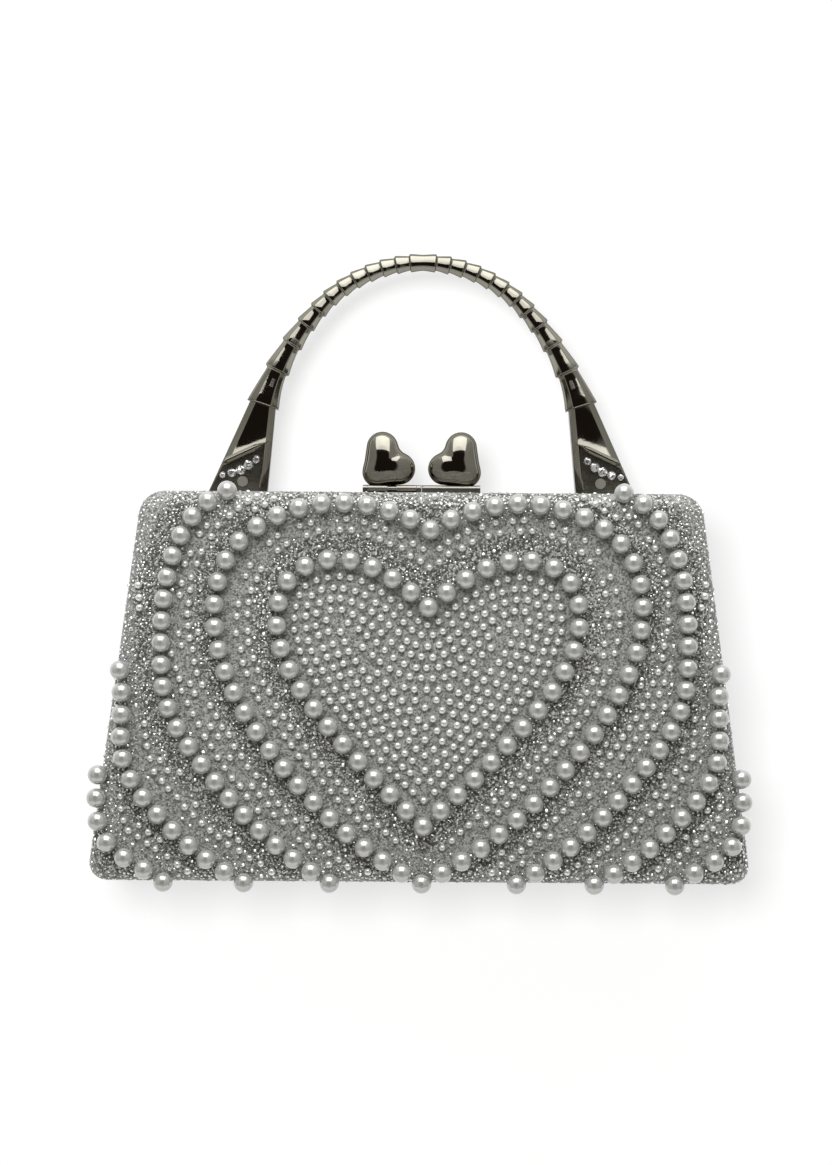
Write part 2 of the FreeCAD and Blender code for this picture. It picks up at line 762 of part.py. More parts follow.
def purse():
    """All the pieces by name."""
    cover = half_tray(0, cover_thickness, frame_edge)
    shell = half_tray(shell_outer, shell_inner, shell_edge).cut(hinge_room)
    lining = half_tray(lining_outer, lining_inner, frame_edge)
    back_frame = to_right(mouth_frame(back_knuckles, front_knuckles))
    pieces = {
        "front_shell": shell,
        "front_cover": cover,
        "front_lining": lining,
        "front_frame": mouth_frame(front_knuckles, back_knuckles),
        "back_shell": to_back(shell).cut(lug_room()),
        "back_cover": to_back(cover).cut(lug_room()),
        "back_lining": to_back(lining),
        "back_frame": back_frame,
        "hinge_pins": hinge_pins(),
        "handle": handle(),
        "handle_lugs": handle_lugs(),
        "handle_rivets": handle_rivets(),
        "right_handle_stones": handle_stones(),
        "left_handle_stones": to_left(handle_stones()),
    }
    clasp = {"clasp_bracket": clasp_bracket(), "clasp_pin": clasp_pin(), "clasp_spring": clasp_spring(),
             "clasp_tongue": clasp_tongue(), "heart_knob": heart_knob(), "heart_stud": heart_stud()}
    for name, shape in clasp.items():
        pieces["left_" + name] = shape
        pieces["right_" + name] = to_right(shape)
    for name, group in pearl_rows().items():
        pieces["front_" + name] = group
        pieces["back_" + name] = to_back(group)
    return pieces


for node, shape in purse().items():
    shape.exportStep("parts/" + node + ".step")
    print(node, len(shape.Solids), round(shape.Volume, 1), shape.isValid())
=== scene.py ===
import math

import bmesh
import bpy
import numpy as np
from mathutils import Matrix, Vector


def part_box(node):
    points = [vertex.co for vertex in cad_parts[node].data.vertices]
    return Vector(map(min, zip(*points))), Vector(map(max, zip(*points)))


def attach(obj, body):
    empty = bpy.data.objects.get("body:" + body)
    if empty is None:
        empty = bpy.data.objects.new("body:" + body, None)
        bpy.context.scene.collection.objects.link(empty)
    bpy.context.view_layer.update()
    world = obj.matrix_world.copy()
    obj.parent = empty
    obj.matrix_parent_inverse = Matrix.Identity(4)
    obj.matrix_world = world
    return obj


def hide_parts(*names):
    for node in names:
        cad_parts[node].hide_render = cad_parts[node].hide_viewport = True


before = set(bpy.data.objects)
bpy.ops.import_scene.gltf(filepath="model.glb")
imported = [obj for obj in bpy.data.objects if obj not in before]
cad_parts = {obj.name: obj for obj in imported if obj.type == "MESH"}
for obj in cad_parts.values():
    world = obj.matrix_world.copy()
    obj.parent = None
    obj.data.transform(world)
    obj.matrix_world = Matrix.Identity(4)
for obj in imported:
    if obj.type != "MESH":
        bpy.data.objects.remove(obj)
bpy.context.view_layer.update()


# Half-shells: two stiff moulded trays that give the purse its box form.
# Matt black plastic, hidden between the beaded cover and the lining; the frames grip their edges.
mm = 0.001


def new_material(name):
    """A material with its node tree and its shader."""
    made = bpy.data.materials.new(name)
    made.use_nodes = True
    return made, made.node_tree, made.node_tree.nodes["Principled BSDF"]


def put(tree, kind, values=None, **settings):
    """A node in a tree, with its input values and its settings."""
    node = tree.nodes.new(kind)
    for setting, value in settings.items():
        setattr(node, setting, value)
    for socket, value in (values or {}).items():
        node.inputs[socket].default_value = value
    return node


def join(tree, *pairs):
    """Links from an output to an input, each pair given as (node, output), (node, input)."""
    for (source, output), (target, entry) in pairs:
        tree.links.new(source.outputs[output], target.inputs[entry])


def dress(names, material):
    """Gives CAD nodes their finish."""
    for name in names:
        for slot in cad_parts[name].material_slots:
            slot.material = material


def new_group(name, entries, exits):
    """An empty shader group with its value inputs and its outputs."""
    group = bpy.data.node_groups.new(name, "ShaderNodeTree")
    for entry, value in entries.items():
        group.interface.new_socket(entry, in_out="INPUT", socket_type="NodeSocketFloat").default_value = value
    for result in exits:
        group.interface.new_socket(result, in_out="OUTPUT", socket_type="NodeSocketFloat")
    return group, put(group, "NodeGroupInput"), put(group, "NodeGroupOutput")


def use_group(tree, group, values):
    """A shader group placed in a material with the material's own values."""
    return put(tree, "ShaderNodeGroup", values, node_tree=group)


mottle, mottle_in, mottle_out = new_group(
    "mottle", {"Scale": 300.0, "Low": 0.2, "High": 0.4}, ("Value", "Height"))
mottle_place = put(mottle, "ShaderNodeTexCoord")
mottle_noise = put(mottle, "ShaderNodeTexNoise", {"Detail": 5.0, "Roughness": 0.6})
mottle_range = put(mottle, "ShaderNodeMapRange", {"From Min": 0.3, "From Max": 0.7})
join(mottle, ((mottle_place, "Object"), (mottle_noise, "Vector")),
     ((mottle_in, "Scale"), (mottle_noise, "Scale")), ((mottle_noise, "Fac"), (mottle_range, "Value")),
     ((mottle_in, "Low"), (mottle_range, "To Min")),
     ((mottle_in, "High"), (mottle_range, "To Max")), ((mottle_range, "Result"), (mottle_out, "Value")),
     ((mottle_noise, "Fac"), (mottle_out, "Height")))


def bump_from(tree, shader, source, output, strength, distance):
    """Raises a surface by a value that changes over it."""
    bump = put(tree, "ShaderNodeBump", {"Strength": strength, "Distance": distance})
    join(tree, ((source, output), (bump, "Height")), ((bump, "Normal"), (shader, "Normal")))


board, tree, shader = new_material("moulded_board")
shader.inputs["Base Color"].default_value = (0.022, 0.022, 0.023, 1)
texture = use_group(tree, mottle, {"Scale": 1500.0, "Low": 0.55, "High": 0.75})
join(tree, ((texture, "Value"), (shader, "Roughness")))
bump_from(tree, shader, texture, "Height", 0.2, 0.05 * mm)
dress(["front_shell", "back_shell"], board)


# Linings: grey satin cloth bonded inside each tray, a little padded so that it swells between its edges.
# Woven from fine thread, with a painted sheen in soft clouds over its colour; its edge is tucked under the
# inner leg of the frame.
body_low, body_high = 3.0 * mm, 121.5 * mm
bottom_half_width, top_half_width = 101.0 * mm, 85.0 * mm
half_depth, edge_round = 28.0 * mm, 4.5 * mm
bottom_corner, top_corner, least_corner = 5.5 * mm, 8.0 * mm, 0.6 * mm
mouth = 4.15 * mm
side_slope = (bottom_half_width - top_half_width) / (body_high - body_low)
face_middle = (body_low + body_high) / 2


def outline(inset, spacing):
    """Points round the purse, drawn in by an inset, from the lower left corner.

    Outlines of one spacing have the same number of points, whatever their inset.
    """
    low, high = body_low + inset, body_high - inset
    drawn = inset * math.hypot(1, side_slope)
    low_x = bottom_half_width - side_slope * inset - drawn
    high_x = top_half_width + side_slope * inset - drawn
    corners = [np.array(place) for place in ((-low_x, low), (low_x, low), (high_x, high), (-high_x, high))]
    radii = [max(radius - inset, least_corner)
             for radius in (bottom_corner, bottom_corner, top_corner, top_corner)]
    side_lengths = (2 * bottom_half_width, body_high - body_low, 2 * top_half_width, body_high - body_low)
    sides = [corners[(index + 1) % 4] - corner for index, corner in enumerate(corners)]
    sides = [side / np.linalg.norm(side) for side in sides]
    halves = [math.acos(float(-sides[index - 1] @ sides[index])) / 2 for index in range(4)]
    set_backs = [radius / math.tan(half) for radius, half in zip(radii, halves)]
    corner_points = 10
    points = []
    for index, corner in enumerate(corners):
        back, ahead, following = -sides[index - 1], sides[index], (index + 1) % 4
        bisector = (back + ahead) / np.linalg.norm(back + ahead)
        centre = corner + bisector * radii[index] / math.sin(halves[index])
        first = corner + back * set_backs[index] - centre
        for step in range(corner_points):
            angle = (math.pi - 2 * halves[index]) * step / corner_points
            cos, sin = math.cos(angle), math.sin(angle)
            points.append(centre + (first[0] * cos - first[1] * sin, first[0] * sin + first[1] * cos))
        leave = corner + ahead * set_backs[index]
        arrive = corners[following] - ahead * set_backs[following]
        count = max(2, round(side_lengths[index] / spacing))
        points += [leave + (arrive - leave) * step / count for step in range(count)]
    return np.array(points)


def tray_mesh(half, inset, rounding, spacing, wall_steps, round_steps, face_steps):
    """A tray-shaped sheet of one half, from its mouth over the rounded edge to the middle of its face."""
    start = outline(inset, spacing)
    face_y = -half_depth + inset
    loops = [(start, -mouth + (face_y + rounding + mouth) * step / wall_steps) for step in range(wall_steps)]
    for step in range(round_steps + 1):
        angle = math.pi / 2 * step / round_steps
        drawn = inset + rounding * (1 - math.cos(angle))
        loops.append((outline(drawn, spacing), face_y + rounding * (1 - math.sin(angle))))
    rim = loops[-1][0]
    middle = np.array((0, face_middle))
    for step in range(1, face_steps):
        loops.append((middle + (rim - middle) * (1 - step / face_steps), face_y))
    count = len(start)
    points = np.array([(x, y, z) for loop, y in loops for x, z in loop] + [(0, face_y, face_middle)])
    ring = np.arange(count)
    quads = []
    for index in range(len(loops) - 1):
        near, far = index * count + ring, (index + 1) * count + ring
        quads.append(np.stack([near, np.roll(near, -1), np.roll(far, -1), far], 1))
    last = (len(loops) - 1) * count + ring
    fan = np.stack([last, np.roll(last, -1), np.full(count, len(points) - 1)], 1)
    faces = [list(map(int, face)) for group in (*quads, fan) for face in group]
    if half == "back":
        points[:, 1] *= -1
        faces = [face[::-1] for face in faces]
    return points, faces


def add_mesh(name, mesh, material):
    """A piece of the scene made from a ready mesh."""
    mesh.materials.append(material)
    piece = bpy.data.objects.new(name, mesh)
    bpy.context.scene.collection.objects.link(piece)
    return piece


def add_piece(name, points, faces, material, smooth=True):
    """A piece of the scene made from points and faces."""
    mesh = bpy.data.meshes.new(name)
    mesh.from_pydata(np.asarray(points).tolist(), [], faces)
    mesh.polygons.foreach_set("use_smooth", [smooth] * len(mesh.polygons))
    return add_mesh(name, mesh, material)


weave, weave_in, weave_out = new_group("weave", {"Threads": 2600.0}, ("Height", "Sheen"))
weave_place = put(weave, "ShaderNodeTexCoord")
warp = put(weave, "ShaderNodeTexWave", {"Distortion": 0.4}, bands_direction="X")
weft = put(weave, "ShaderNodeTexWave", {"Distortion": 0.4}, bands_direction="Z")
crossing = put(weave, "ShaderNodeMath", operation="MAXIMUM")
# Sheen: soft clouds of a value that the satin turns into painted sheen in its colour.
cloud = put(weave, "ShaderNodeTexNoise", {"Scale": 60.0, "Detail": 3.0})
join(weave, ((weave_place, "Object"), (warp, "Vector")), ((weave_place, "Object"), (weft, "Vector")),
     ((weave_place, "Object"), (cloud, "Vector")),
     ((weave_in, "Threads"), (warp, "Scale")), ((weave_in, "Threads"), (weft, "Scale")),
     ((warp, "Fac"), (crossing, 0)), ((weft, "Fac"), (crossing, 1)), ((crossing, 0), (weave_out, "Height")),
     ((cloud, "Fac"), (weave_out, "Sheen")))

satin, tree, shader = new_material("grey_satin")
cloth = use_group(tree, weave, {"Threads": 1400.0})
# The satin's colour goes lighter and darker in soft clouds from the weave's Sheen value: painted sheen.
satin_painted_sheen = put(tree, "ShaderNodeMix", data_type="RGBA")
satin_painted_sheen.inputs["A"].default_value = (0.075, 0.075, 0.078, 1)
satin_painted_sheen.inputs["B"].default_value = (0.13, 0.13, 0.135, 1)
join(tree, ((cloth, "Sheen"), (satin_painted_sheen, "Factor")), ((satin_painted_sheen, "Result"), (shader, "Base Color")))
shader.inputs["Roughness"].default_value = 0.42
shader.inputs["Sheen Weight"].default_value = 0.3
bump_from(tree, shader, cloth, "Height", 0.35, 0.05 * mm)

lining_inset, lining_edge, lining_thickness, lining_swell = 3.8 * mm, 0.7 * mm, 0.7 * mm, 0.5 * mm
cloth_spacing = 2.5 * mm
ripple_across, ripple_up, ripple_share = 160, 190, 0.5
for half, sign in (("front", -1), ("back", 1)):
    points, faces = tray_mesh(half, lining_inset, lining_edge, cloth_spacing,
                              wall_steps=10, round_steps=3, face_steps=30)
    on_face = np.abs(points[:, 1]) > half_depth - lining_inset - 0.05 * mm
    inner_x = np.abs(points[:, 0]) / (bottom_half_width - lining_inset)
    inner_z = np.abs(points[:, 2] - face_middle) / (face_middle - body_low - lining_inset)
    slack = np.clip(1 - np.maximum(inner_x, inner_z) ** 4, 0, 1)
    ripple = np.sin(points[:, 0] * ripple_across) * np.sin(points[:, 2] * ripple_up)
    points[:, 1] -= sign * lining_swell * slack * (1 + ripple_share * ripple) * on_face
    lining = add_piece(half + "_satin_lining", points, [face[::-1] for face in faces], satin)
    thick = lining.modifiers.new("thickness", "SOLIDIFY")
    thick.thickness = lining_thickness
    thick.offset = -1
    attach(lining, half + "_half")
    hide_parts(half + "_lining")


# Mouth ribbon: narrow woven ribbon glued round the inside of the front frame.
# It stands a little proud of the frame and closes the parting line when the purse is shut.
ribbon_inset, ribbon_thickness, ribbon_edge = 3.86 * mm, 0.4 * mm, 0.1 * mm
ribbon_foot, ribbon_crest = -3.2 * mm, 0.5 * mm
ribbon_section = ((0, ribbon_foot), (0, ribbon_crest - ribbon_edge), (ribbon_edge, ribbon_crest),
                  (ribbon_thickness - ribbon_edge, ribbon_crest),
                  (ribbon_thickness, ribbon_crest - ribbon_edge), (ribbon_thickness, ribbon_foot))
ribbon_loops = [(outline(ribbon_inset + inwards, cloth_spacing), level) for inwards, level in ribbon_section]
ribbon_points = [(x, level, z) for loop, level in ribbon_loops for x, z in loop]
ribbon_count = len(ribbon_loops[0][0])
ribbon_faces = []
for level in range(len(ribbon_loops)):
    below, above = level * ribbon_count, (level + 1) % len(ribbon_loops) * ribbon_count
    for place in range(ribbon_count):
        beside = (place + 1) % ribbon_count
        ribbon_faces.append((below + place, above + place, above + beside, below + beside))
ribbon = add_piece("mouth_ribbon", ribbon_points, ribbon_faces, satin)
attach(ribbon, "front_half")


# Mouth frames: bent brass channel round each mouth with the hinge knuckles brazed on, plated gunmetal.
# The same plate covers the clasp, the hearts, the handle and its rivets, polished with faint rub marks.
plate_colour, cloud_shade, cast_roughness = (0.315, 0.302, 0.255), 0.88, 0.2


def gunmetal_finish(name, colour, low, high, scratch):
    """A plated metal with its least and most roughness and the depth of its rub marks."""
    made, tree, shader = new_material(name)
    shader.inputs["Metallic"].default_value = 1.0
    shader.inputs["Specular Tint"].default_value = (0.14, 0.135, 0.125, 1)
    rub = use_group(tree, mottle, {"Scale": 260.0, "Low": low, "High": high})
    cloudy = use_group(tree, mottle, {"Scale": 45.0, "Low": 0.0, "High": 1.0})
    tint = put(tree, "ShaderNodeMix", data_type="RGBA")
    tint.inputs["A"].default_value = (*colour, 1)
    tint.inputs["B"].default_value = (*[channel * cloud_shade for channel in colour], 1)
    cast = put(tree, "ShaderNodeAttribute", attribute_name="rough_cast")
    dulled = put(tree, "ShaderNodeMath", {1: cast_roughness}, operation="MULTIPLY_ADD")
    join(tree, ((cloudy, "Value"), (tint, "Factor")), ((tint, "Result"), (shader, "Base Color")),
         ((cast, "Fac"), (dulled, 0)), ((rub, "Value"), (dulled, 2)), ((dulled, 0), (shader, "Roughness")))
    bump_from(tree, shader, rub, "Height", scratch, 0.02 * mm)
    return made


gunmetal = gunmetal_finish("gunmetal_plate", plate_colour, 0.04, 0.09, 0.05)
cast_gunmetal = gunmetal_finish("cast_gunmetal", plate_colour, 0.04, 0.09, 1.0)
satin_plate = gunmetal_finish("rubbed_gunmetal", (0.33, 0.32, 0.295), 0.24, 0.38, 0.1)
dress(["front_frame", "back_frame"], satin_plate)


# Hinge pins, lugs, clasp pins, springs and studs: plain drawn steel, left bright.
# They are pushed through, spun over or screwed in from inside and hardly show.
drawn_steel = gunmetal_finish("drawn_steel", (0.56, 0.56, 0.55), 0.2, 0.34, 0.15)
steel_nodes = ["hinge_pins", "handle_lugs"]
for side in ("left", "right"):
    steel_nodes += [side + "_clasp_pin", side + "_clasp_spring", side + "_heart_stud"]
dress(steel_nodes, drawn_steel)


# Large pearls: flat-backed resin pearls with a lacquer of cool grey-white, glued in five rows on each half.
# They stand where the solids are; a row is one piece.
def loose_parts(node):
    """Points of each separate solid of a CAD node."""
    work = bmesh.new()
    work.from_mesh(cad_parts[node].data)
    bmesh.ops.remove_doubles(work, verts=work.verts, dist=0.001 * mm)
    seen, parts = set(), []
    for first in work.verts:
        if first.index in seen:
            continue
        island, waiting = [], [first]
        seen.add(first.index)
        while waiting:
            vertex = waiting.pop()
            island.append(vertex.co[:])
            for edge in vertex.link_edges:
                other = edge.other_vert(vertex)
                if other.index not in seen:
                    seen.add(other.index)
                    waiting.append(other)
        parts.append(np.array(island))
    work.free()
    return parts


def pearl_centres(node):
    """Centre of each ball of a CAD node, from a sphere fitted to its points."""
    centres = []
    for cloud in loose_parts(node):
        system = np.hstack([2 * cloud, np.ones((len(cloud), 1))])
        centres.append(np.linalg.lstsq(system, (cloud ** 2).sum(1), rcond=None)[0][:3])
    return np.array(centres)


def ball(radius, around, along, turned=math.pi):
    """Points and faces of a ball, or of a dome closed by a flat base where it isn't turned right down."""
    points, faces = [(0, 0, radius)], []
    for step in range(1, along):
        angle = turned * step / along
        across, up = radius * math.sin(angle), radius * math.cos(angle)
        for place in range(around):
            turn = 2 * math.pi * place / around
            points.append((across * math.cos(turn), across * math.sin(turn), up))
    points.append((0, 0, radius * math.cos(turned * (along - 1) / along) if turned < math.pi else -radius))
    final = len(points) - 1
    for place in range(around):
        beside = (place + 1) % around
        faces.append((0, 1 + place, 1 + beside))
        for step in range(along - 2):
            row = 1 + step * around
            faces.append((row + place, row + around + place, row + around + beside, row + beside))
        row = 1 + (along - 2) * around
        faces.append((row + place, final, row + beside))
    return np.array(points), faces


def scattered(shape, places, normals, sizes):
    """Copies of a small shape at many places, each stood on its normal and given its size."""
    points, faces = shape
    normals = normals / np.linalg.norm(normals, axis=1)[:, None]
    helper = np.where(np.abs(normals[:, 2:3]) < 0.9, [[0.0, 0.0, 1.0]], [[1.0, 0.0, 0.0]])
    across = np.cross(helper, normals)
    across /= np.linalg.norm(across, axis=1)[:, None]
    up = np.cross(normals, across)
    axes = np.stack([across, up, normals], 2)
    placed = np.einsum("nij,pj->npi", axes, points) * sizes[:, None, None] + places[:, None, :]
    copies = [[corner + index * len(points) for corner in face]
              for index in range(len(places)) for face in faces]
    return placed.reshape(-1, 3), copies


def lacquer(name, shade, metallic, low, high, coat):
    """A pearl lacquer: its lightness, its metal sheen, its least and most roughness and its clear coat."""
    made, tree, shader = new_material(name)
    nacre = use_group(tree, mottle, {"Scale": 420.0, "Low": low, "High": high})
    nacre_tint = put(tree, "ShaderNodeMix", data_type="RGBA")
    nacre_tint.inputs["A"].default_value = (0.92 * shade, 0.93 * shade, 0.90 * shade, 1)
    nacre_tint.inputs["B"].default_value = (1.06 * shade, 1.06 * shade, 1.03 * shade, 1)
    join(tree, ((nacre, "Height"), (nacre_tint, "Factor")), ((nacre_tint, "Result"), (shader, "Base Color")),
         ((nacre, "Value"), (shader, "Roughness")))
    shader.inputs["Metallic"].default_value = metallic
    shader.inputs["Coat Weight"].default_value = coat
    shader.inputs["Coat Roughness"].default_value = 0.04
    bump_from(tree, shader, nacre, "Height", 0.06, 0.05 * mm)
    return made


pearl_lacquer = lacquer("pearl_lacquer", 0.48, 0.55, 0.16, 0.21, 0.8)

pearl_radius = 3.0 * mm
row_names = ("inner_heart_pearls", "outer_heart_pearls", "third_row_pearls", "fourth_row_pearls",
             "corner_pearls", "base_pearls")
row_places = {name: pearl_centres("front_" + name) for name in row_names}
for half, sign in (("front", 1), ("back", -1)):
    for name, places in row_places.items():
        places = places * (1, sign, 1)
        outwards = np.tile((0.0, -sign, 0.0), (len(places), 1))
        points, faces = scattered(ball(pearl_radius, 24, 14), places, outwards, np.ones(len(places)))
        row_name = half + "_" + name.removesuffix("_pearls") + "_lacquered"
        row = add_piece(row_name, points, faces, pearl_lacquer)
        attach(row, half + "_half")
        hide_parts(half + "_" + name)


# Beaded covers: cloth glued over each shell and coated with fine glass bead grit.
# The grit is dark and coarse just outside each row of large pearls and pale and fine inside the next one.
def side_row(name, base_x):
    """One row of the right half from its upper end to the bottom edge, with the base pearl it ends on."""
    places = row_places[name][:, [0, 2]]
    right = places[places[:, 0] > 0]
    right = right[np.argsort(-right[:, 1])]
    base = row_places["base_pearls"][:, [0, 2]]
    return np.vstack([right, base[np.argmin(np.abs(base[:, 0] - base_x))]])


def closed_heart(places, middle):
    """Heart row sorted round an inner point."""
    from_middle = places - middle
    return places[np.argsort(np.arctan2(from_middle[:, 1], from_middle[:, 0]))]


def beyond(points):
    """The two ends of a side row carried on by four steps, past the edges of the purse."""
    steps = 4
    start = points[0] + (points[0] - points[1]) * steps
    end = points[-1] + (points[-1] - points[-2]) * steps
    return np.vstack([start, points, end])


heart_middle = np.array((1.5, 62.0)) * mm
inner_ring = closed_heart(row_places["inner_heart_pearls"][:, [0, 2]], heart_middle)
tip = row_places["base_pearls"][np.argmin(np.abs(row_places["base_pearls"][:, 0]))][[0, 2]]
outer_ring = closed_heart(np.vstack([row_places["outer_heart_pearls"][:, [0, 2]], tip]), heart_middle)
rings = [inner_ring, outer_ring]
closed = [True, True]
side_rows = (("third_row_pearls", 28 * mm), ("fourth_row_pearls", 53 * mm), ("corner_pearls", 77 * mm))
for name, base_x in side_rows:
    right = beyond(side_row(name, base_x))
    rings.append(np.vstack([right, (right * (-1, 1))[::-1]]))
    closed.append(False)


far = 0.3


def ring_segments(index):
    """Starts and ends of the straight stretches from pearl to pearl of a row."""
    ring = rings[index]
    if closed[index]:
        return ring, np.roll(ring, -1, 0)
    half = len(ring) // 2
    starts = np.vstack([ring[:half - 1], ring[half:-1]])
    ends = np.vstack([ring[1:half], ring[half + 1:]])
    return starts, ends


def ring_distance(places, index):
    """Distance of places on the face from a row."""
    starts, ends = ring_segments(index)
    nearest = np.full(len(places), far)
    for start, end in zip(starts, ends):
        along = end - start
        share = np.clip((places - start) @ along / (along @ along), 0, 1)
        nearest = np.minimum(nearest, np.linalg.norm(places - start - share[:, None] * along, axis=1))
    return nearest


def inside_outline(places, rim):
    """Whether places on the face lie inside a closed outline."""
    inside, least_rise = np.zeros(len(places), bool), 1e-12
    for start, end in zip(rim, np.roll(rim, -1, 0)):
        crosses = (start[1] > places[:, 1]) != (end[1] > places[:, 1])
        rise = end[1] - start[1] if abs(end[1] - start[1]) > least_rise else least_rise
        at = start[0] + (places[:, 1] - start[1]) / rise * (end[0] - start[0])
        inside ^= crosses & (places[:, 0] < at)
    return inside


def outside_ring(places, index):
    """Whether places lie on the far side of a row, seen from the middle of the purse."""
    ring = rings[index]
    if not closed[index]:
        ring = np.vstack([(far, ring[0, 1]), ring, (-far, ring[-1, 1]), (-far, far), (far, far)])
    return ~inside_outline(places, ring)


def zone_of(places):
    """How many rows lie inside each place, its distance from the last of them and from the next row out."""
    zone = sum(outside_ring(places, index).astype(int) for index in range(len(rings)))
    distances = np.array([ring_distance(places, index) for index in range(len(rings))])
    every = np.arange(len(places))
    from_last = np.where(zone > 0, distances[np.maximum(zone - 1, 0), every], far)
    to_next = np.where(zone < len(rings), distances[np.minimum(zone, len(rings) - 1), every], far)
    return zone, from_last, to_next


heart_band, heart_band_fade = 7.0 * mm, 2.0 * mm
row_band, row_band_fade = 5.2 * mm, 3.2 * mm
next_row_gap, next_row_fade, least_dark = 3.5 * mm, 3.0 * mm, 0.25


def dark_share(places):
    """1 in the dark coarse band outside a row of large pearls, 0 in the pale fine grit."""
    zone, from_last, to_next = zone_of(places)
    reach = np.where(zone == 1, heart_band, row_band)
    fade = np.where(zone == 1, heart_band_fade, row_band_fade)
    band = 1 - np.clip((from_last - reach) / fade, 0, 1)
    pale = np.clip((to_next - next_row_gap) / next_row_fade, least_dark, 1)
    return np.where(zone > 0, band * pale, 0.0)


grit, grit_in, grit_out = new_group("bead_grit", {"Beads": 1500.0}, ("Shade", "Height"))
grit_place = put(grit, "ShaderNodeTexCoord")
grit_cells = put(grit, "ShaderNodeTexVoronoi", {"Randomness": 0.9})
grit_split = put(grit, "ShaderNodeSeparateColor")
grit_round = put(grit, "ShaderNodeMapRange", {"From Min": 0.0, "From Max": 0.6, "To Min": 1.0, "To Max": 0.0})
join(grit, ((grit_place, "Object"), (grit_cells, "Vector")), ((grit_in, "Beads"), (grit_cells, "Scale")),
     ((grit_cells, "Color"), (grit_split, "Color")), ((grit_split, "Red"), (grit_out, "Shade")),
     ((grit_cells, "Distance"), (grit_round, "Value")), ((grit_round, "Result"), (grit_out, "Height")))

bead_cloth, tree, shader = new_material("bead_grit_cloth")
fine = use_group(tree, grit, {"Beads": 2100.0})
band = put(tree, "ShaderNodeAttribute", attribute_name="dark_band")
pale_ramp = put(tree, "ShaderNodeValToRGB")
pale_ramp.color_ramp.elements[0].color = (0.088, 0.089, 0.084, 1)
pale_ramp.color_ramp.elements[1].color = (0.43, 0.432, 0.415, 1)
dark_ramp = put(tree, "ShaderNodeValToRGB")
dark_ramp.color_ramp.elements[0].color = (0.034, 0.034, 0.029, 1)
dark_ramp.color_ramp.elements[1].position = 0.95
dark_ramp.color_ramp.elements[1].color = (0.56, 0.56, 0.53, 1)
dark_ramp.color_ramp.elements.new(0.6).color = (0.115, 0.115, 0.104, 1)
mixed = put(tree, "ShaderNodeMix", data_type="RGBA")
shader.inputs["Roughness"].default_value = 0.38
shader.inputs["Metallic"].default_value = 0.2
join(tree, ((fine, "Shade"), (pale_ramp, "Fac")), ((fine, "Shade"), (dark_ramp, "Fac")),
     ((band, "Fac"), (mixed, "Factor")), ((pale_ramp, "Color"), (mixed, "A")),
     ((dark_ramp, "Color"), (mixed, "B")), ((mixed, "Result"), (shader, "Base Color")))
bump_from(tree, shader, fine, "Height", 0.7, 0.16 * mm)

cover_thickness, cover_spacing = 0.7 * mm, 1.1 * mm
band_depth, band_side_fade = 6 * mm, 3 * mm
for half in ("front", "back"):
    points, faces = tray_mesh(half, 0.0, edge_round, cover_spacing,
                              wall_steps=18, round_steps=7, face_steps=56)
    cover = add_piece(half + "_beaded_cover", points, faces, bead_cloth)
    shade = cover.data.attributes.new("dark_band", "FLOAT", "POINT")
    behind = half_depth - np.abs(points[:, 1])
    near_face = np.clip((band_depth - behind) / band_side_fade, 0, 1)
    shade.data.foreach_set("value", dark_share(points[:, [0, 2]]) * near_face)
    thick = cover.modifiers.new("thickness", "SOLIDIFY")
    thick.thickness = cover_thickness
    thick.offset = -1
    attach(cover, half + "_half")
    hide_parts(half + "_cover")


# Small pearls: half-round beads of the same lacquer, glued in staggered rows that follow the large ones.
# They fill the inner heart and stand two or three rows deep on the pale grit between the large rows.
rim_spacing = 0.8 * mm
flat_rim = outline(edge_round, rim_spacing)
outer_rim = outline(0.0, rim_spacing)


def seated(places):
    """Points of the front cover and their normals, for places seen from the front."""
    nearest = np.array([flat_rim[np.argmin(((flat_rim - place) ** 2).sum(1))] for place in places])
    off = places - nearest
    reach = np.linalg.norm(off, axis=1)
    flat = inside_outline(places, flat_rim)
    across = np.where(flat, 0, np.clip(reach / edge_round, 0, 0.999))
    away = off / np.maximum(reach, 1e-9)[:, None]
    normals = np.stack([away[:, 0] * across, -np.sqrt(1 - across ** 2), away[:, 1] * across], 1)
    centres = np.stack([nearest[:, 0], np.full(len(places), -half_depth + edge_round), nearest[:, 1]], 1)
    points = centres + normals * edge_round
    points[flat] = np.stack([places[flat, 0], np.full(flat.sum(), -half_depth), places[flat, 1]], 1)
    return points, normals


def resampled(index, step):
    """Points at even steps along a row, with the normals that point away from the middle."""
    points, normals = [], []
    for start, end in zip(*ring_segments(index)):
        along = end - start
        length = np.linalg.norm(along)
        for share in np.arange(0, 1, step / length):
            points.append(start + along * share)
            normals.append((along[1], -along[0]) / length)
    return np.array(points), np.array(normals)


rng = np.random.default_rng(11)
large_places = np.vstack(list(row_places.values()))[:, [0, 2]]
small_radius, small_spacing, small_waver = 1.2 * mm, 3.4 * mm, 0.2 * mm
lowest_small, highest_small = 6.4 * mm, outer_rim[:, 1].max() - 1.8 * mm
row_step, offset_slack = 0.35 * mm, 0.25 * mm
beside_pearl = pearl_radius + small_radius + 0.2 * mm
beside_row = pearl_radius + small_radius + 0.5 * mm
heart_filling = pearl_centres("front_small_heart_pearls")
small_places = list(heart_filling[:, [0, 2]])


def nearest_of(places, place):
    """Distance from one place to the nearest of many."""
    return np.min(np.linalg.norm(np.asarray(places) - place, axis=1))


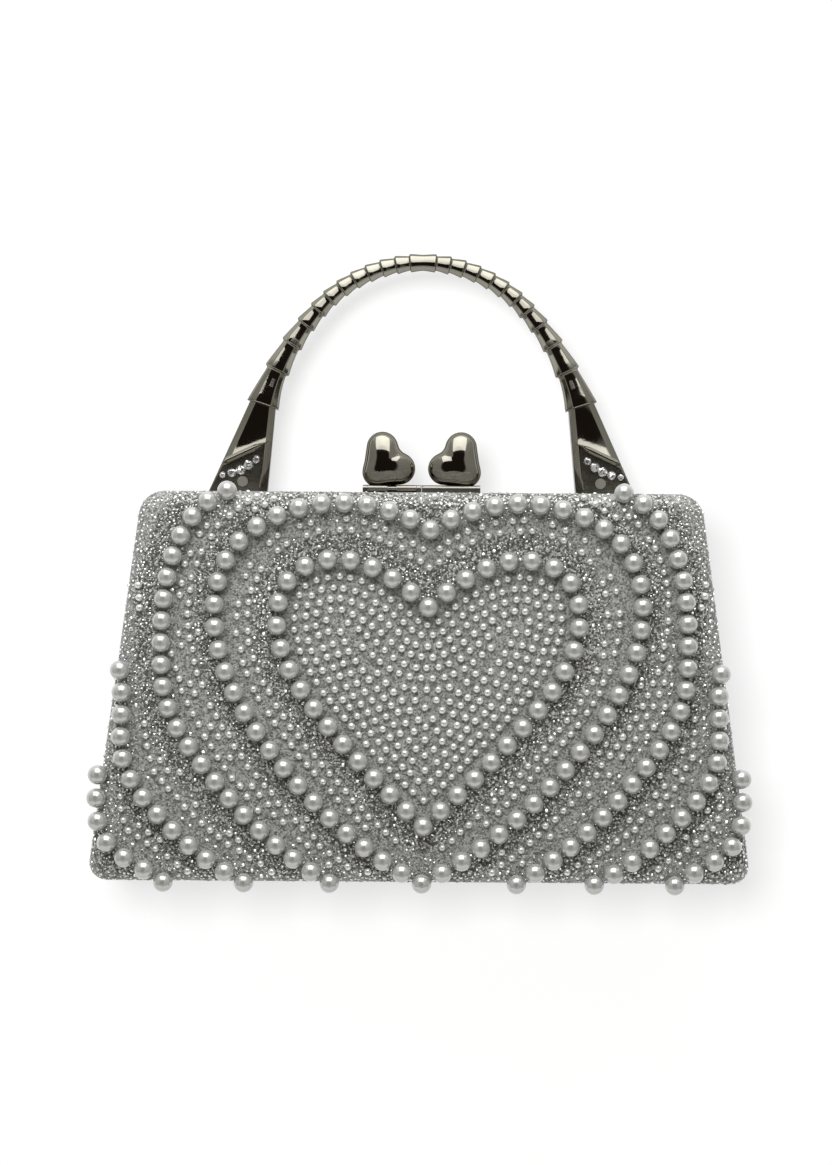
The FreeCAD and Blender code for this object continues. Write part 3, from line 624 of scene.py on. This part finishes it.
def set_row(index, offset):
    """Sets one row of small pearls at a distance outside a row of large ones."""
    points, normals = resampled(index, row_step)
    tries = points + normals * offset
    keep = ring_distance(tries, index) > offset - offset_slack
    keep &= inside_outline(tries, outer_rim) & (tries[:, 1] > lowest_small) & (tries[:, 1] < highest_small)
    for other in range(len(rings)):
        if other != index:
            keep &= ring_distance(tries, other) > beside_row
            keep &= outside_ring(tries, other) == (other < index)
    for place in tries[keep]:
        clear_of_large = nearest_of(large_places, place) >= beside_pearl
        if clear_of_large and nearest_of(small_places, place) >= small_spacing:
            small_places.append(place + rng.normal(0, small_waver, 2))


small_row_offsets = ((9.0, 12.4, 15.8), (8.0, 11.0, 14.2), (7.6, 10.5, 13.6), (7.4, 10.4, 13.6),
                     (7.0, 10.2, 13.4))
for index, offsets in enumerate(small_row_offsets):
    for offset in offsets:
        set_row(index, offset * mm)

small_places = np.array(small_places)
between_rows = small_places[len(heart_filling):]
small_points, small_normals = seated(between_rows)
small_shape = ball(small_radius, 16, 9, math.radians(125))
small_lacquer = lacquer("small_pearl_lacquer", 0.76, 0.66, 0.20, 0.26, 1.0)
heart_waver, small_lift = 0.14 * mm, 0.3 * mm
heart_seats = heart_filling + rng.normal(0, heart_waver, heart_filling.shape) * (1, 0, 1)
for half, sign in (("front", 1), ("back", -1)):
    outwards = np.tile((0.0, -sign, 0.0), (len(heart_seats), 1))
    points, faces = scattered(small_shape, heart_seats * (1, sign, 1), outwards,
                              rng.uniform(0.9, 1.04, len(heart_seats)))
    beads = add_piece(half + "_small_heart_lacquered", points, faces, small_lacquer)
    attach(beads, half + "_half")
    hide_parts(half + "_small_heart_pearls")
    lifted = (small_points + small_normals * small_lift) * (1, sign, 1)
    points, faces = scattered(small_shape, lifted, small_normals * (1, sign, 1),
                              rng.uniform(0.86, 1.02, len(lifted)))
    beads = add_piece(half + "_small_pearls", points, faces, small_lacquer)
    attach(beads, half + "_half")


# Fine stones: cut glass chatons with a foiled back, each with a flat table and six crown facets.
# They are glued close together in the dark bands and along the edges.
stone_shape_points = [(math.cos(turn) * size, math.sin(turn) * size, rise)
                      for size, rise in ((1.0, -0.3), (1.0, 0.12), (0.55, 0.55))
                      for turn in (math.pi / 3 * place for place in range(6))]
stone_shape_faces = [tuple(range(12, 18)), tuple(range(5, -1, -1))]
for level in (0, 6):
    for place in range(6):
        beside = (place + 1) % 6
        stone_shape_faces.append((level + place, level + beside, level + 6 + beside, level + 6 + place))
stone_shape = (np.array(stone_shape_points), stone_shape_faces)


def foiled_stone(name):
    """Clear cut glass over a foil, seen as bright metal."""
    made, tree, shader = new_material(name)
    shader.inputs["Metallic"].default_value = 0.9
    sparkle = use_group(tree, mottle, {"Scale": 700.0, "Low": 0.04, "High": 0.16})
    tint = put(tree, "ShaderNodeMix", data_type="RGBA")
    tint.inputs["A"].default_value = (0.86, 0.86, 0.84, 1)
    tint.inputs["B"].default_value = (0.66, 0.67, 0.68, 1)
    join(tree, ((sparkle, "Height"), (tint, "Factor")), ((tint, "Result"), (shader, "Base Color")),
         ((sparkle, "Value"), (shader, "Roughness")))
    return made, tree, shader


chaton = foiled_stone("foiled_stone")[0]

cell = 3.0 * mm
occupied = {}


def remember(place, reach):
    """Notes that a round spot of the face is taken."""
    square = (int(place[0] // cell), int(place[1] // cell))
    occupied.setdefault(square, []).append((place[0], place[1], reach))


def is_free(place, reach):
    """Whether a round spot of the face is still bare."""
    across, up = int(place[0] // cell), int(place[1] // cell)
    for x in range(across - 2, across + 3):
        for z in range(up - 2, up + 3):
            for other_x, other_z, other_reach in occupied.get((x, z), ()):
                if (place[0] - other_x) ** 2 + (place[1] - other_z) ** 2 < (reach + other_reach) ** 2:
                    return False
    return True


under_pearl, under_small_pearl = 0.92, 0.9
for place in large_places:
    remember(place, pearl_radius * under_pearl)
for place in small_places:
    remember(place, small_radius * under_small_pearl)
stone_places, stone_sizes = [], []
row_stone, row_stone_room, row_stone_step, row_stone_spacing = 0.74 * mm, 0.9 * mm, 0.3 * mm, 3.1 * mm
row_stone_offset, least_offset = 4.3 * mm, 4.0 * mm
for index in range(len(rings)):
    points, normals = resampled(index, row_stone_step)
    tries = points + normals * row_stone_offset
    for place in tries[inside_outline(tries, outer_rim) & (ring_distance(tries, index) > least_offset)]:
        alone = not stone_places or nearest_of(stone_places, place) > row_stone_spacing
        if alone and is_free(place, row_stone):
            remember(place, row_stone_room)
            stone_places.append(place)
            stone_sizes.append(row_stone)
field_low, field_high, stone_tries = (-102 * mm, 2 * mm), (102 * mm, 122 * mm), 110000
edge_band, edge_share = 9 * mm, 0.75
stone_room, stone_tilt = 1.12, 0.22
tries = rng.uniform(field_low, field_high, (stone_tries, 2))
tries = tries[inside_outline(tries, outer_rim)]
edge_distance = np.array([np.sqrt(((outer_rim - place) ** 2).sum(1).min()) for place in tries])
wanted = np.maximum(dark_share(tries), edge_share * (edge_distance < edge_band))
for place, chance, draw, size in zip(tries, wanted, rng.uniform(0, 1, len(tries)),
                                     rng.uniform(0.30, 0.62, len(tries)) * mm):
    if draw < chance and is_free(place, size * stone_room):
        remember(place, size * stone_room)
        stone_places.append(place)
        stone_sizes.append(size)
stone_points, stone_normals = seated(np.array(stone_places))
stone_sizes = np.array(stone_sizes)
stone_normals = stone_normals + rng.normal(0, stone_tilt, stone_normals.shape)
for half, sign in (("front", 1), ("back", -1)):
    mirror = (1, sign, 1)
    points, faces = scattered(stone_shape, stone_points * mirror, stone_normals * mirror, stone_sizes)
    stones = add_piece(half + "_fine_stones", points, faces, chaton, smooth=False)
    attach(stones, half + "_half")


# Handle: one zinc casting, an arch of flaring segments with a foot at each end, plated gunmetal.
# Each segment is domed in front and ends in a rolled rim; the feet are riveted to lugs in the back shell.
handle_setback, arch_crest = 8.6 * mm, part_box("handle")[1].z - 2.7 * mm
crown_radius, crown_angle = 43.4 * mm, math.radians(46.5)
leg_radius, leg_angle = 81.5 * mm, math.radians(76.0)
middle_segment_half = 4.1 * mm
crown_segments, crown_segment, crown_growth = 7, 4.5 * mm, 1.021
leg_segments, leg_segment, leg_growth = 4, 6.05 * mm, 1.245
segment_rims = [middle_segment_half]
for step in range(crown_segments):
    segment_rims.append(segment_rims[-1] + crown_segment * crown_growth ** step)
for step in range(leg_segments):
    segment_rims.append(segment_rims[-1] + leg_segment * leg_growth ** step)
arch_end = segment_rims[-1]


def arch_place(distance):
    """Middle of the handle and its slope, at a distance from its top along one leg."""
    side, distance = math.copysign(1, distance), abs(distance)
    crown_length = crown_radius * crown_angle
    slope = min(distance, crown_length) / crown_radius
    across, drop = crown_radius * math.sin(slope), crown_radius * (1 - math.cos(slope))
    if distance > crown_length:
        turned = min(slope + (distance - crown_length) / leg_radius, leg_angle)
        straight = distance - crown_length - leg_radius * (turned - slope)
        across += leg_radius * (math.sin(turned) - math.sin(slope)) + straight * math.cos(turned)
        drop += leg_radius * (math.cos(slope) - math.cos(turned)) + straight * math.sin(turned)
        slope = turned
    return Vector((side * across, handle_setback, arch_crest - drop)), side * slope


def mixed_size(start, end, share):
    """A size between two others, at a share of the way from the first."""
    return start + (end - start) * share


def between(start, end, shares):
    """Points on a straight line, at shares of its length."""
    return [tuple(mixed_size(low, high, share) for low, high in zip(start, end)) for share in shares]


dome_shares, strip_shares = (0.04, 0.10, 0.25, 0.4, 0.55, 0.7, 0.83, 0.92, 0.97), (0.1, 0.3, 0.7, 0.9)
flare_power, crown_end, leg_start = 3.6, 20 * mm, 38 * mm


def handle_ring(distance, scale, inset):
    """Points round the handle: domed front and back, a narrow outer bevel, a wide inner one, flat sides.

    The widths of its facets are shares of its half width and half depth, from the crown to the legs.
    """
    flare = (abs(distance) / arch_end) ** flare_power
    leg = min(max((abs(distance) - crown_end) / (leg_start - crown_end), 0), 1)
    half_width = mixed_size(2.65, 4.8, flare) * mm * scale - inset
    half_deep = mixed_size(3.0, 4.0, flare) * mm * scale - inset
    outer, inner = mixed_size(0.78, 0.54, leg) * half_width, -0.58 * half_width
    outer_lean, inner_lean = mixed_size(0.58, 0.22, leg), mixed_size(0.22, 0.14, leg)
    outer_foot, inner_foot = -0.45 * half_deep, -mixed_size(0.18, 0.42, leg) * half_deep
    facet, lean = outer - inner, outer_lean + inner_lean
    dome = [(inner + facet * at, facet * (inner_lean - lean * at) ** 2 / (2 * lean) - half_deep)
            for at in dome_shares]
    front = dome + between(dome[-1], (half_width, outer_foot), strip_shares)
    front += between((half_width, outer_foot), (half_width, 0.0), (0.15, 0.4))
    back = [(across, -deep) for across, deep in reversed(front)]
    inner_side = between((-half_width, 0.0), (-half_width, inner_foot), (0.6, 0.85))
    inner_side += between((-half_width, inner_foot), dome[0], strip_shares)
    around = front + back + [(across, -deep) for across, deep in reversed(inner_side)] + inner_side
    middle, slope = arch_place(distance)
    outwards = Vector((math.sin(slope), 0, math.cos(slope)))
    return [middle + outwards * across + Vector((0, deep, 0)) for across, deep in around]


middle_waist, segment_waist, lip, flare_curve = 0.92, 0.83, 1.06, 1.2
crown_roll, leg_roll = 0.40 * mm, 0.75 * mm
stations, begin = [], 0.0
for rim in segment_rims:
    waist = middle_waist if rim == middle_segment_half else segment_waist
    roll = mixed_size(crown_roll, leg_roll, (rim / arch_end) ** 2)
    for share in (0.05, 0.25, 0.5, 0.75, 1.0):
        scale = mixed_size(waist, lip, share ** flare_curve)
        stations.append((mixed_size(begin, rim - roll, share), scale, 0.0))
    for turn in (math.radians(angle) for angle in (15, 32, 50, 70, 90)):
        stations.append((rim - roll + roll * math.sin(turn), lip, roll * (1 - math.cos(turn))))
    begin = rim
rings_along = [handle_ring(-distance, scale, inset) for distance, scale, inset in reversed(stations)]
rings_along += [handle_ring(distance, scale, inset) for distance, scale, inset in stations]

work = bmesh.new()
made_rings = [[work.verts.new(place) for place in ring] for ring in rings_along]
for first, second in zip(made_rings, made_rings[1:]):
    for corner in range(len(first)):
        beside = (corner + 1) % len(first)
        work.faces.new((first[corner], first[beside], second[beside], second[corner]))
work.faces.new(made_rings[0])
work.faces.new(made_rings[-1][::-1])
bmesh.ops.recalc_face_normals(work, faces=work.faces)
for face in work.faces:
    face.smooth = True
arch_mesh = bpy.data.meshes.new("handle_arch")
work.to_mesh(arch_mesh)
work.free()


def ease(work, edges, width, segments):
    """Rounds edges of a mesh over."""
    bmesh.ops.bevel(work, geom=edges, offset=width, offset_type="OFFSET", segments=segments, profile=0.5,
                    affect="EDGES", clamp_overlap=True)


foot_overlap, foot_edge, sharp_angle = 0.4 * mm, 0.16 * mm, math.radians(16)
panel_floor, floor_slack, facing_front = 5.2 * mm, 0.1 * mm, -0.95
handle_work = bmesh.new()
handle_work.from_mesh(arch_mesh)
for side in (-1, 1):
    foot = bmesh.new()
    foot.from_mesh(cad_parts["handle"].data)
    bmesh.ops.remove_doubles(foot, verts=foot.verts, dist=0.002 * mm)
    cut_at, slope = arch_place(side * (arch_end - foot_overlap))
    down_leg = Vector((math.cos(slope) * side, 0, -abs(math.sin(slope))))
    bmesh.ops.bisect_plane(foot, geom=foot.verts[:] + foot.edges[:] + foot.faces[:], dist=0.0005 * mm,
                           plane_co=cut_at, plane_no=down_leg, clear_inner=True)
    bmesh.ops.holes_fill(foot, edges=[edge for edge in foot.edges if edge.is_boundary])
    bmesh.ops.dissolve_limit(foot, angle_limit=math.radians(1.2), verts=foot.verts, edges=foot.edges)
    sharp = [edge for edge in foot.edges if edge.is_manifold and edge.calc_face_angle(0) > sharp_angle]
    ease(foot, sharp, foot_edge, 2)
    foot_mesh = bpy.data.meshes.new("handle_foot")
    foot.to_mesh(foot_mesh)
    foot.free()
    handle_work.from_mesh(foot_mesh)
handle_mesh = bpy.data.meshes.new("handle_plated")
handle_work.to_mesh(handle_mesh)
handle_work.free()
cast_faces = handle_mesh.attributes.new("rough_cast", "FLOAT", "FACE")
on_floor = [face.normal.y < facing_front and abs(face.center.y - panel_floor) < floor_slack
            for face in handle_mesh.polygons]
cast_faces.data.foreach_set("value", [float(rough) for rough in on_floor])
handle = add_mesh("handle_plated", handle_mesh, cast_gunmetal)
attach(handle, "back_half")
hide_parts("handle")
dress(["handle_rivets"], gunmetal_finish("rivet_plate", (0.42, 0.405, 0.36), 0.44, 0.56, 0.1))


# Foot stones: five clear chatons of falling size in the sunk panel of each foot, cemented in round seats.
# Cut glass with a foiled back: table, star, kite and girdle facets over a short girdle.
def round_points(count, radius, rise, start):
    """Points evenly spaced round a stone."""
    turns = [start + 2 * math.pi * place / count for place in range(count)]
    return [(radius * math.cos(turn), radius * math.sin(turn), rise) for turn in turns]


table_rise, crown_rise, girdle_drop, gem_tilt = 0.38, 0.24, 0.25, 0.07
gem_points = np.array(round_points(8, 0.56, table_rise, 0) + round_points(8, 0.80, crown_rise, math.pi / 8)
                      + round_points(16, 1.0, 0.0, 0) + round_points(16, 1.0, -girdle_drop, 0))
gem_faces = [tuple(range(8)), tuple(range(47, 31, -1))]
for place in range(8):
    beside, girdle = (place + 1) % 8, 16 + 2 * place
    gem_faces.append((place, 8 + place, beside))
    gem_faces.append((place, 8 + (place - 1) % 8, girdle, 8 + place))
    gem_faces.append((8 + place, girdle, girdle + 1))
    gem_faces.append((8 + place, girdle + 1, 16 + (2 * place + 2) % 16))
for place in range(16):
    beside = (place + 1) % 16
    gem_faces.append((16 + place, 32 + place, 32 + beside, 16 + beside))
gem_points[:, 2] -= table_rise
cut_stone, tree, shader = foiled_stone("cut_stone")
where = put(tree, "ShaderNodeTexCoord")
cuts = put(tree, "ShaderNodeTexVoronoi", {"Scale": 1500.0})
from_cut = put(tree, "ShaderNodeVectorMath", operation="SUBTRACT")
leaning = put(tree, "ShaderNodeVectorMath", {1: (0.5, 0.5, 0.5)}, operation="SUBTRACT")
tilted = put(tree, "ShaderNodeVectorMath", operation="DOT_PRODUCT")
inner_cuts = put(tree, "ShaderNodeBump", {"Strength": 1.0, "Distance": 0.5})
join(tree, ((where, "Object"), (cuts, "Vector")), ((where, "Object"), (from_cut, 0)),
     ((cuts, "Position"), (from_cut, 1)), ((cuts, "Color"), (leaning, 0)),
     ((from_cut, "Vector"), (tilted, 0)), ((leaning, "Vector"), (tilted, 1)),
     ((tilted, "Value"), (inner_cuts, "Height")), ((inner_cuts, "Normal"), (shader, "Normal")))
for side in ("left", "right"):
    seats = loose_parts(side + "_handle_stones")
    lows, highs = np.array([seat.min(0) for seat in seats]), np.array([seat.max(0) for seat in seats])
    places = np.stack([(lows[:, 0] + highs[:, 0]) / 2, lows[:, 1], (lows[:, 2] + highs[:, 2]) / 2], 1)
    outwards = np.tile((0.0, -1.0, 0.0), (len(places), 1)) + rng.normal(0, gem_tilt, (len(places), 3))
    points, faces = scattered((gem_points, gem_faces), places, outwards, (highs - lows)[:, 0] / 2)
    gems = add_piece(side + "_foot_gems", points, faces, cut_stone, smooth=False)
    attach(gems, "back_half")
    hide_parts(side + "_handle_stones")


# Clasp: on each half a bracket brazed to the frame and a sprung tongue that reaches over the mouth.
# Pressed from sheet with the edges drawn round, then plated and rubbed dull.
dull_plate = gunmetal_finish("dull_gunmetal", (0.29, 0.278, 0.245), 0.24, 0.34, 0.1)
plate_round, shortest_rim, steep, top_slack, barrel_reach = 1.05 * mm, 5 * mm, 1.5, 0.02 * mm, 3.3 * mm
split_reach, split_share = 1 * mm, 0.4
for side in ("left", "right"):
    dress([side + "_clasp_bracket", side + "_clasp_spring"], dull_plate)
    work = bmesh.new()
    work.from_mesh(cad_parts[side + "_clasp_tongue"].data)
    bmesh.ops.remove_doubles(work, verts=work.verts, dist=0.002 * mm)
    bmesh.ops.dissolve_limit(work, angle_limit=math.radians(1.2), verts=work.verts, edges=work.edges)
    top = max(vert.co.z for vert in work.verts)
    rims = [edge for edge in work.edges
            if edge.calc_length() > shortest_rim and edge.calc_face_angle(0) > steep
            and all(vert.co.z > top - top_slack and abs(vert.co.y) > barrel_reach for vert in edge.verts)]
    ease(work, rims, plate_round, 8)
    for vert in work.verts:
        if abs(vert.co.x) < split_reach:
            vert.co.x *= split_share
    mesh = bpy.data.meshes.new(side + "_pressed_tongue")
    work.to_mesh(mesh)
    work.free()
    tongue = add_mesh(side + "_pressed_tongue", mesh, dull_plate)
    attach(tongue, side + "_clasp")
    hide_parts(side + "_clasp_tongue")


# Heart knobs: two puffed hearts lying on their sides, cast hollow, polished and plated gunmetal.
# Each is held on its tongue by a stud from below.
heart_limbs = (((6.0, 12.2, 4.9), (4.5, 4.5, 4.5)), ((11.3, 5.6, 5.0), (4.5, 4.5, 4.5)),
               ((6.0, 12.2, 3.9), (11.3, 5.6, 3.9)))
heart_middle_x, heart_middle_z = 7.0, 6.9
heart_blend, heart_half_depth, heart_fullness, heart_seat = 0.3, 4.75, 2.3, 0.4


def heart_reach(turns):
    """Distance from the heart's middle to its outline in each direction."""
    ways = np.stack([np.cos(turns), np.sin(turns)], 1)
    near, far = np.zeros(len(turns)), np.full(len(turns), 20.0)
    for step in range(40):
        middle = (near + far) / 2
        places = (heart_middle_x, heart_middle_z) + ways * middle[:, None]
        total = np.zeros(len(turns))
        for (x0, z0, r0), (x1, z1, r1) in heart_limbs:
            along = np.array((x1 - x0, z1 - z0))
            share = np.clip((places - (x0, z0)) @ along / (along @ along), 0, 1)
            away = np.linalg.norm(places - (x0, z0) - share[:, None] * along, axis=1)
            gap = away - (r0 + (r1 - r0) * share)
            total += np.exp(-gap / heart_blend)
        within = total > 1
        near, far = np.where(within, middle, near), np.where(within, far, middle)
    return near


heart_ball, heart_faces = ball(1.0, 96, 56)
from_middle = np.hypot(heart_ball[:, 0], heart_ball[:, 1])
reach = heart_reach(np.arctan2(heart_ball[:, 1], heart_ball[:, 0]))
bulge = heart_half_depth * np.sqrt(np.clip(1 - from_middle ** heart_fullness, 0, 1))
heart_surface = np.stack([heart_middle_x + heart_ball[:, 0] * reach, -np.sign(heart_ball[:, 2]) * bulge,
                          np.maximum(heart_middle_z + heart_ball[:, 1] * reach, heart_seat)], 1)
clasp_half, plate_top = 18.3, 124.4
for side, sign in (("left", 1), ("right", -1)):
    points = (heart_surface + (-clasp_half, 0, plate_top - heart_seat)) * (sign, sign, 1) * mm
    heart = add_piece(side + "_puffed_heart", points, heart_faces, gunmetal)
    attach(heart, side + "_clasp")
    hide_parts(side + "_heart_knob")


# Table: the pale paper that the purse lies on for its picture, behind it as the camera sees it.
# It lets the lamps' light through, and the view from behind, so that the back is lit and seen as well.
table_y, table_reach, table_glow = 34.5 * mm, 3.0, 0.68
paper, tree, shader = new_material("pale_paper")
shader.inputs["Base Color"].default_value = (0.21, 0.21, 0.21, 1)
shader.inputs["Roughness"].default_value = 0.9
shader.inputs["Specular IOR Level"].default_value = 0.1
path = put(tree, "ShaderNodeLightPath")
direct = put(tree, "ShaderNodeMath", operation="MAXIMUM")
seen = put(tree, "ShaderNodeMath", operation="MAXIMUM")
glow = put(tree, "ShaderNodeMath", {1: table_glow}, operation="MULTIPLY")
side_seen = put(tree, "ShaderNodeNewGeometry")
let_through = put(tree, "ShaderNodeMath", operation="MAXIMUM")
clear = put(tree, "ShaderNodeBsdfTransparent")
one_sided = put(tree, "ShaderNodeMixShader")
shader.inputs["Emission Color"].default_value = (1, 1, 1, 1)
join(tree, ((path, "Is Camera Ray"), (direct, 0)), ((path, "Is Glossy Ray"), (direct, 1)),
     ((direct, 0), (seen, 0)), ((path, "Is Transmission Ray"), (seen, 1)), ((seen, 0), (glow, 0)),
     ((glow, 0), (shader, "Emission Strength")),
     ((side_seen, "Backfacing"), (let_through, 0)), ((path, "Is Shadow Ray"), (let_through, 1)),
     ((let_through, 0), (one_sided, 0)), ((shader, "BSDF"), (one_sided, 1)),
     ((clear, "BSDF"), (one_sided, 2)), ((one_sided, "Shader"), (tree.nodes["Material Output"], "Surface")))
table_corners = [(x * table_reach, table_y, z * table_reach) for x, z in ((-1, -1), (1, -1), (1, 1), (-1, 1))]
table = add_piece("pale_table", table_corners, [(0, 1, 2, 3)], paper)


# Studio: a pale dome, dark on the camera's side and shown as plain white behind the purse.
# A large soft lamp hangs above, a weak one that metal doesn't mirror in front, and one behind.
# A fourth lights the table alone, so that the purse's soft shadow falls close beside it.
world = bpy.data.worlds.new("studio")
bpy.context.scene.world = world
world.use_nodes = True
tree = world.node_tree
background = tree.nodes["Background"]
background.inputs["Strength"].default_value = 3.0
place = put(tree, "ShaderNodeTexCoord")
parts = put(tree, "ShaderNodeSeparateXYZ")
sideways = put(tree, "ShaderNodeMath", operation="ABSOLUTE")
narrowed = put(tree, "ShaderNodeMath", {1: -0.35}, operation="MULTIPLY_ADD")
height = put(tree, "ShaderNodeMapRange", {"From Min": -1.0, "From Max": 1.0})
dome = put(tree, "ShaderNodeValToRGB")
dome.color_ramp.elements[0].position = 0.10
dome.color_ramp.elements[0].color = (0.36, 0.36, 0.35, 1)
dome.color_ramp.elements[1].position = 1.0
dome.color_ramp.elements[1].color = (0.60, 0.60, 0.59, 1)
for level, colour in ((0.15, (0.125, 0.120, 0.110, 1)), (0.45, (0.15, 0.148, 0.142, 1)),
                      (0.70, (0.18, 0.18, 0.177, 1)), (0.82, (0.33, 0.33, 0.325, 1))):
    dome.color_ramp.elements.new(level).color = colour
forward = put(tree, "ShaderNodeVectorMath", operation="DOT_PRODUCT")
forward.inputs[1].default_value = Vector((-0.12, -1.0, 0.10)).normalized()
shade = put(tree, "ShaderNodeMapRange", {"From Min": 0.84, "From Max": 0.90})
camera_side = put(tree, "ShaderNodeMix", data_type="RGBA")
camera_side.inputs["B"].default_value = (0.008, 0.006, 0.005, 1)
path = put(tree, "ShaderNodeLightPath")
shown = put(tree, "ShaderNodeMix", data_type="RGBA")
shown.inputs["B"].default_value = (1 / 3, 1 / 3, 1 / 3, 1)
join(tree, ((place, "Generated"), (parts, 0)), ((parts, "X"), (sideways, 0)), ((sideways, 0), (narrowed, 0)),
     ((parts, "Z"), (narrowed, 2)), ((narrowed, 0), (height, "Value")), ((height, "Result"), (dome, "Fac")),
     ((place, "Generated"), (forward, 0)), ((forward, "Value"), (shade, "Value")),
     ((shade, "Result"), (camera_side, "Factor")), ((dome, "Color"), (camera_side, "A")),
     ((camera_side, "Result"), (shown, "A")), ((path, "Is Camera Ray"), (shown, "Factor")),
     ((shown, "Result"), (background, "Color")))


lamp_aim = (0, 0, 0.09)


def soft_lamp(name, place, size, power):
    """A flat lamp turned to the middle of the purse."""
    data = bpy.data.lights.new(name, "AREA")
    data.shape = "RECTANGLE"
    data.size, data.size_y = size
    data.energy = power
    lamp = bpy.data.objects.new(name, data)
    lamp.location = place
    lamp.rotation_euler = (Vector(lamp_aim) - Vector(place)).to_track_quat("-Z", "Y").to_euler()
    bpy.context.scene.collection.objects.link(lamp)
    return lamp


def link_table(lamp, state):
    """Lets a lamp light the table alone (INCLUDE) or all but the table (EXCLUDE)."""
    receivers = bpy.data.collections.new(lamp.name + "_receivers")
    receivers.objects.link(table)
    receivers.collection_objects[0].light_linking.link_state = state
    lamp.light_linking.receiver_collection = receivers


overhead = soft_lamp("overhead_softbox", (-0.04, -0.43, 0.70), (0.82, 0.76), 4.1)
front_fill = soft_lamp("front_fill", (-0.12, -0.54, 0.46), (0.4, 0.4), 2.45)
front_fill.visible_glossy = False
soft_lamp("back_softbox", (0.10, 0.60, 0.58), (0.7, 0.5), 2.6)
table_lamp = soft_lamp("table_lamp", (-0.15, -1.2, 0.25), (0.28, 0.28), 19.5)
table_lamp.visible_glossy = False
table_lamp.visible_camera = False
link_table(overhead, "EXCLUDE")
link_table(front_fill, "EXCLUDE")
link_table(table_lamp, "INCLUDE")


# Camera: square to the front, as the photograph was taken, with its slight roll.
# A long lens, 0.9 m in front of the middle of the purse and a little above it.
camera_place, camera_roll = (-1.515 * mm, -900 * mm, 94.1 * mm), 0.0071
camera_data = bpy.data.cameras.new("camera")
camera_data.sensor_width = 36.0
camera_data.lens = 89.05
camera = bpy.data.objects.new("camera", camera_data)
camera.matrix_world = (Matrix.Translation(camera_place) @ Matrix.Rotation(math.pi / 2, 4, "X")
                       @ Matrix.Rotation(camera_roll, 4, "Z"))
bpy.context.scene.collection.objects.link(camera)
bpy.context.scene.camera = camera
bpy.context.scene.view_settings.view_transform = "Standard"
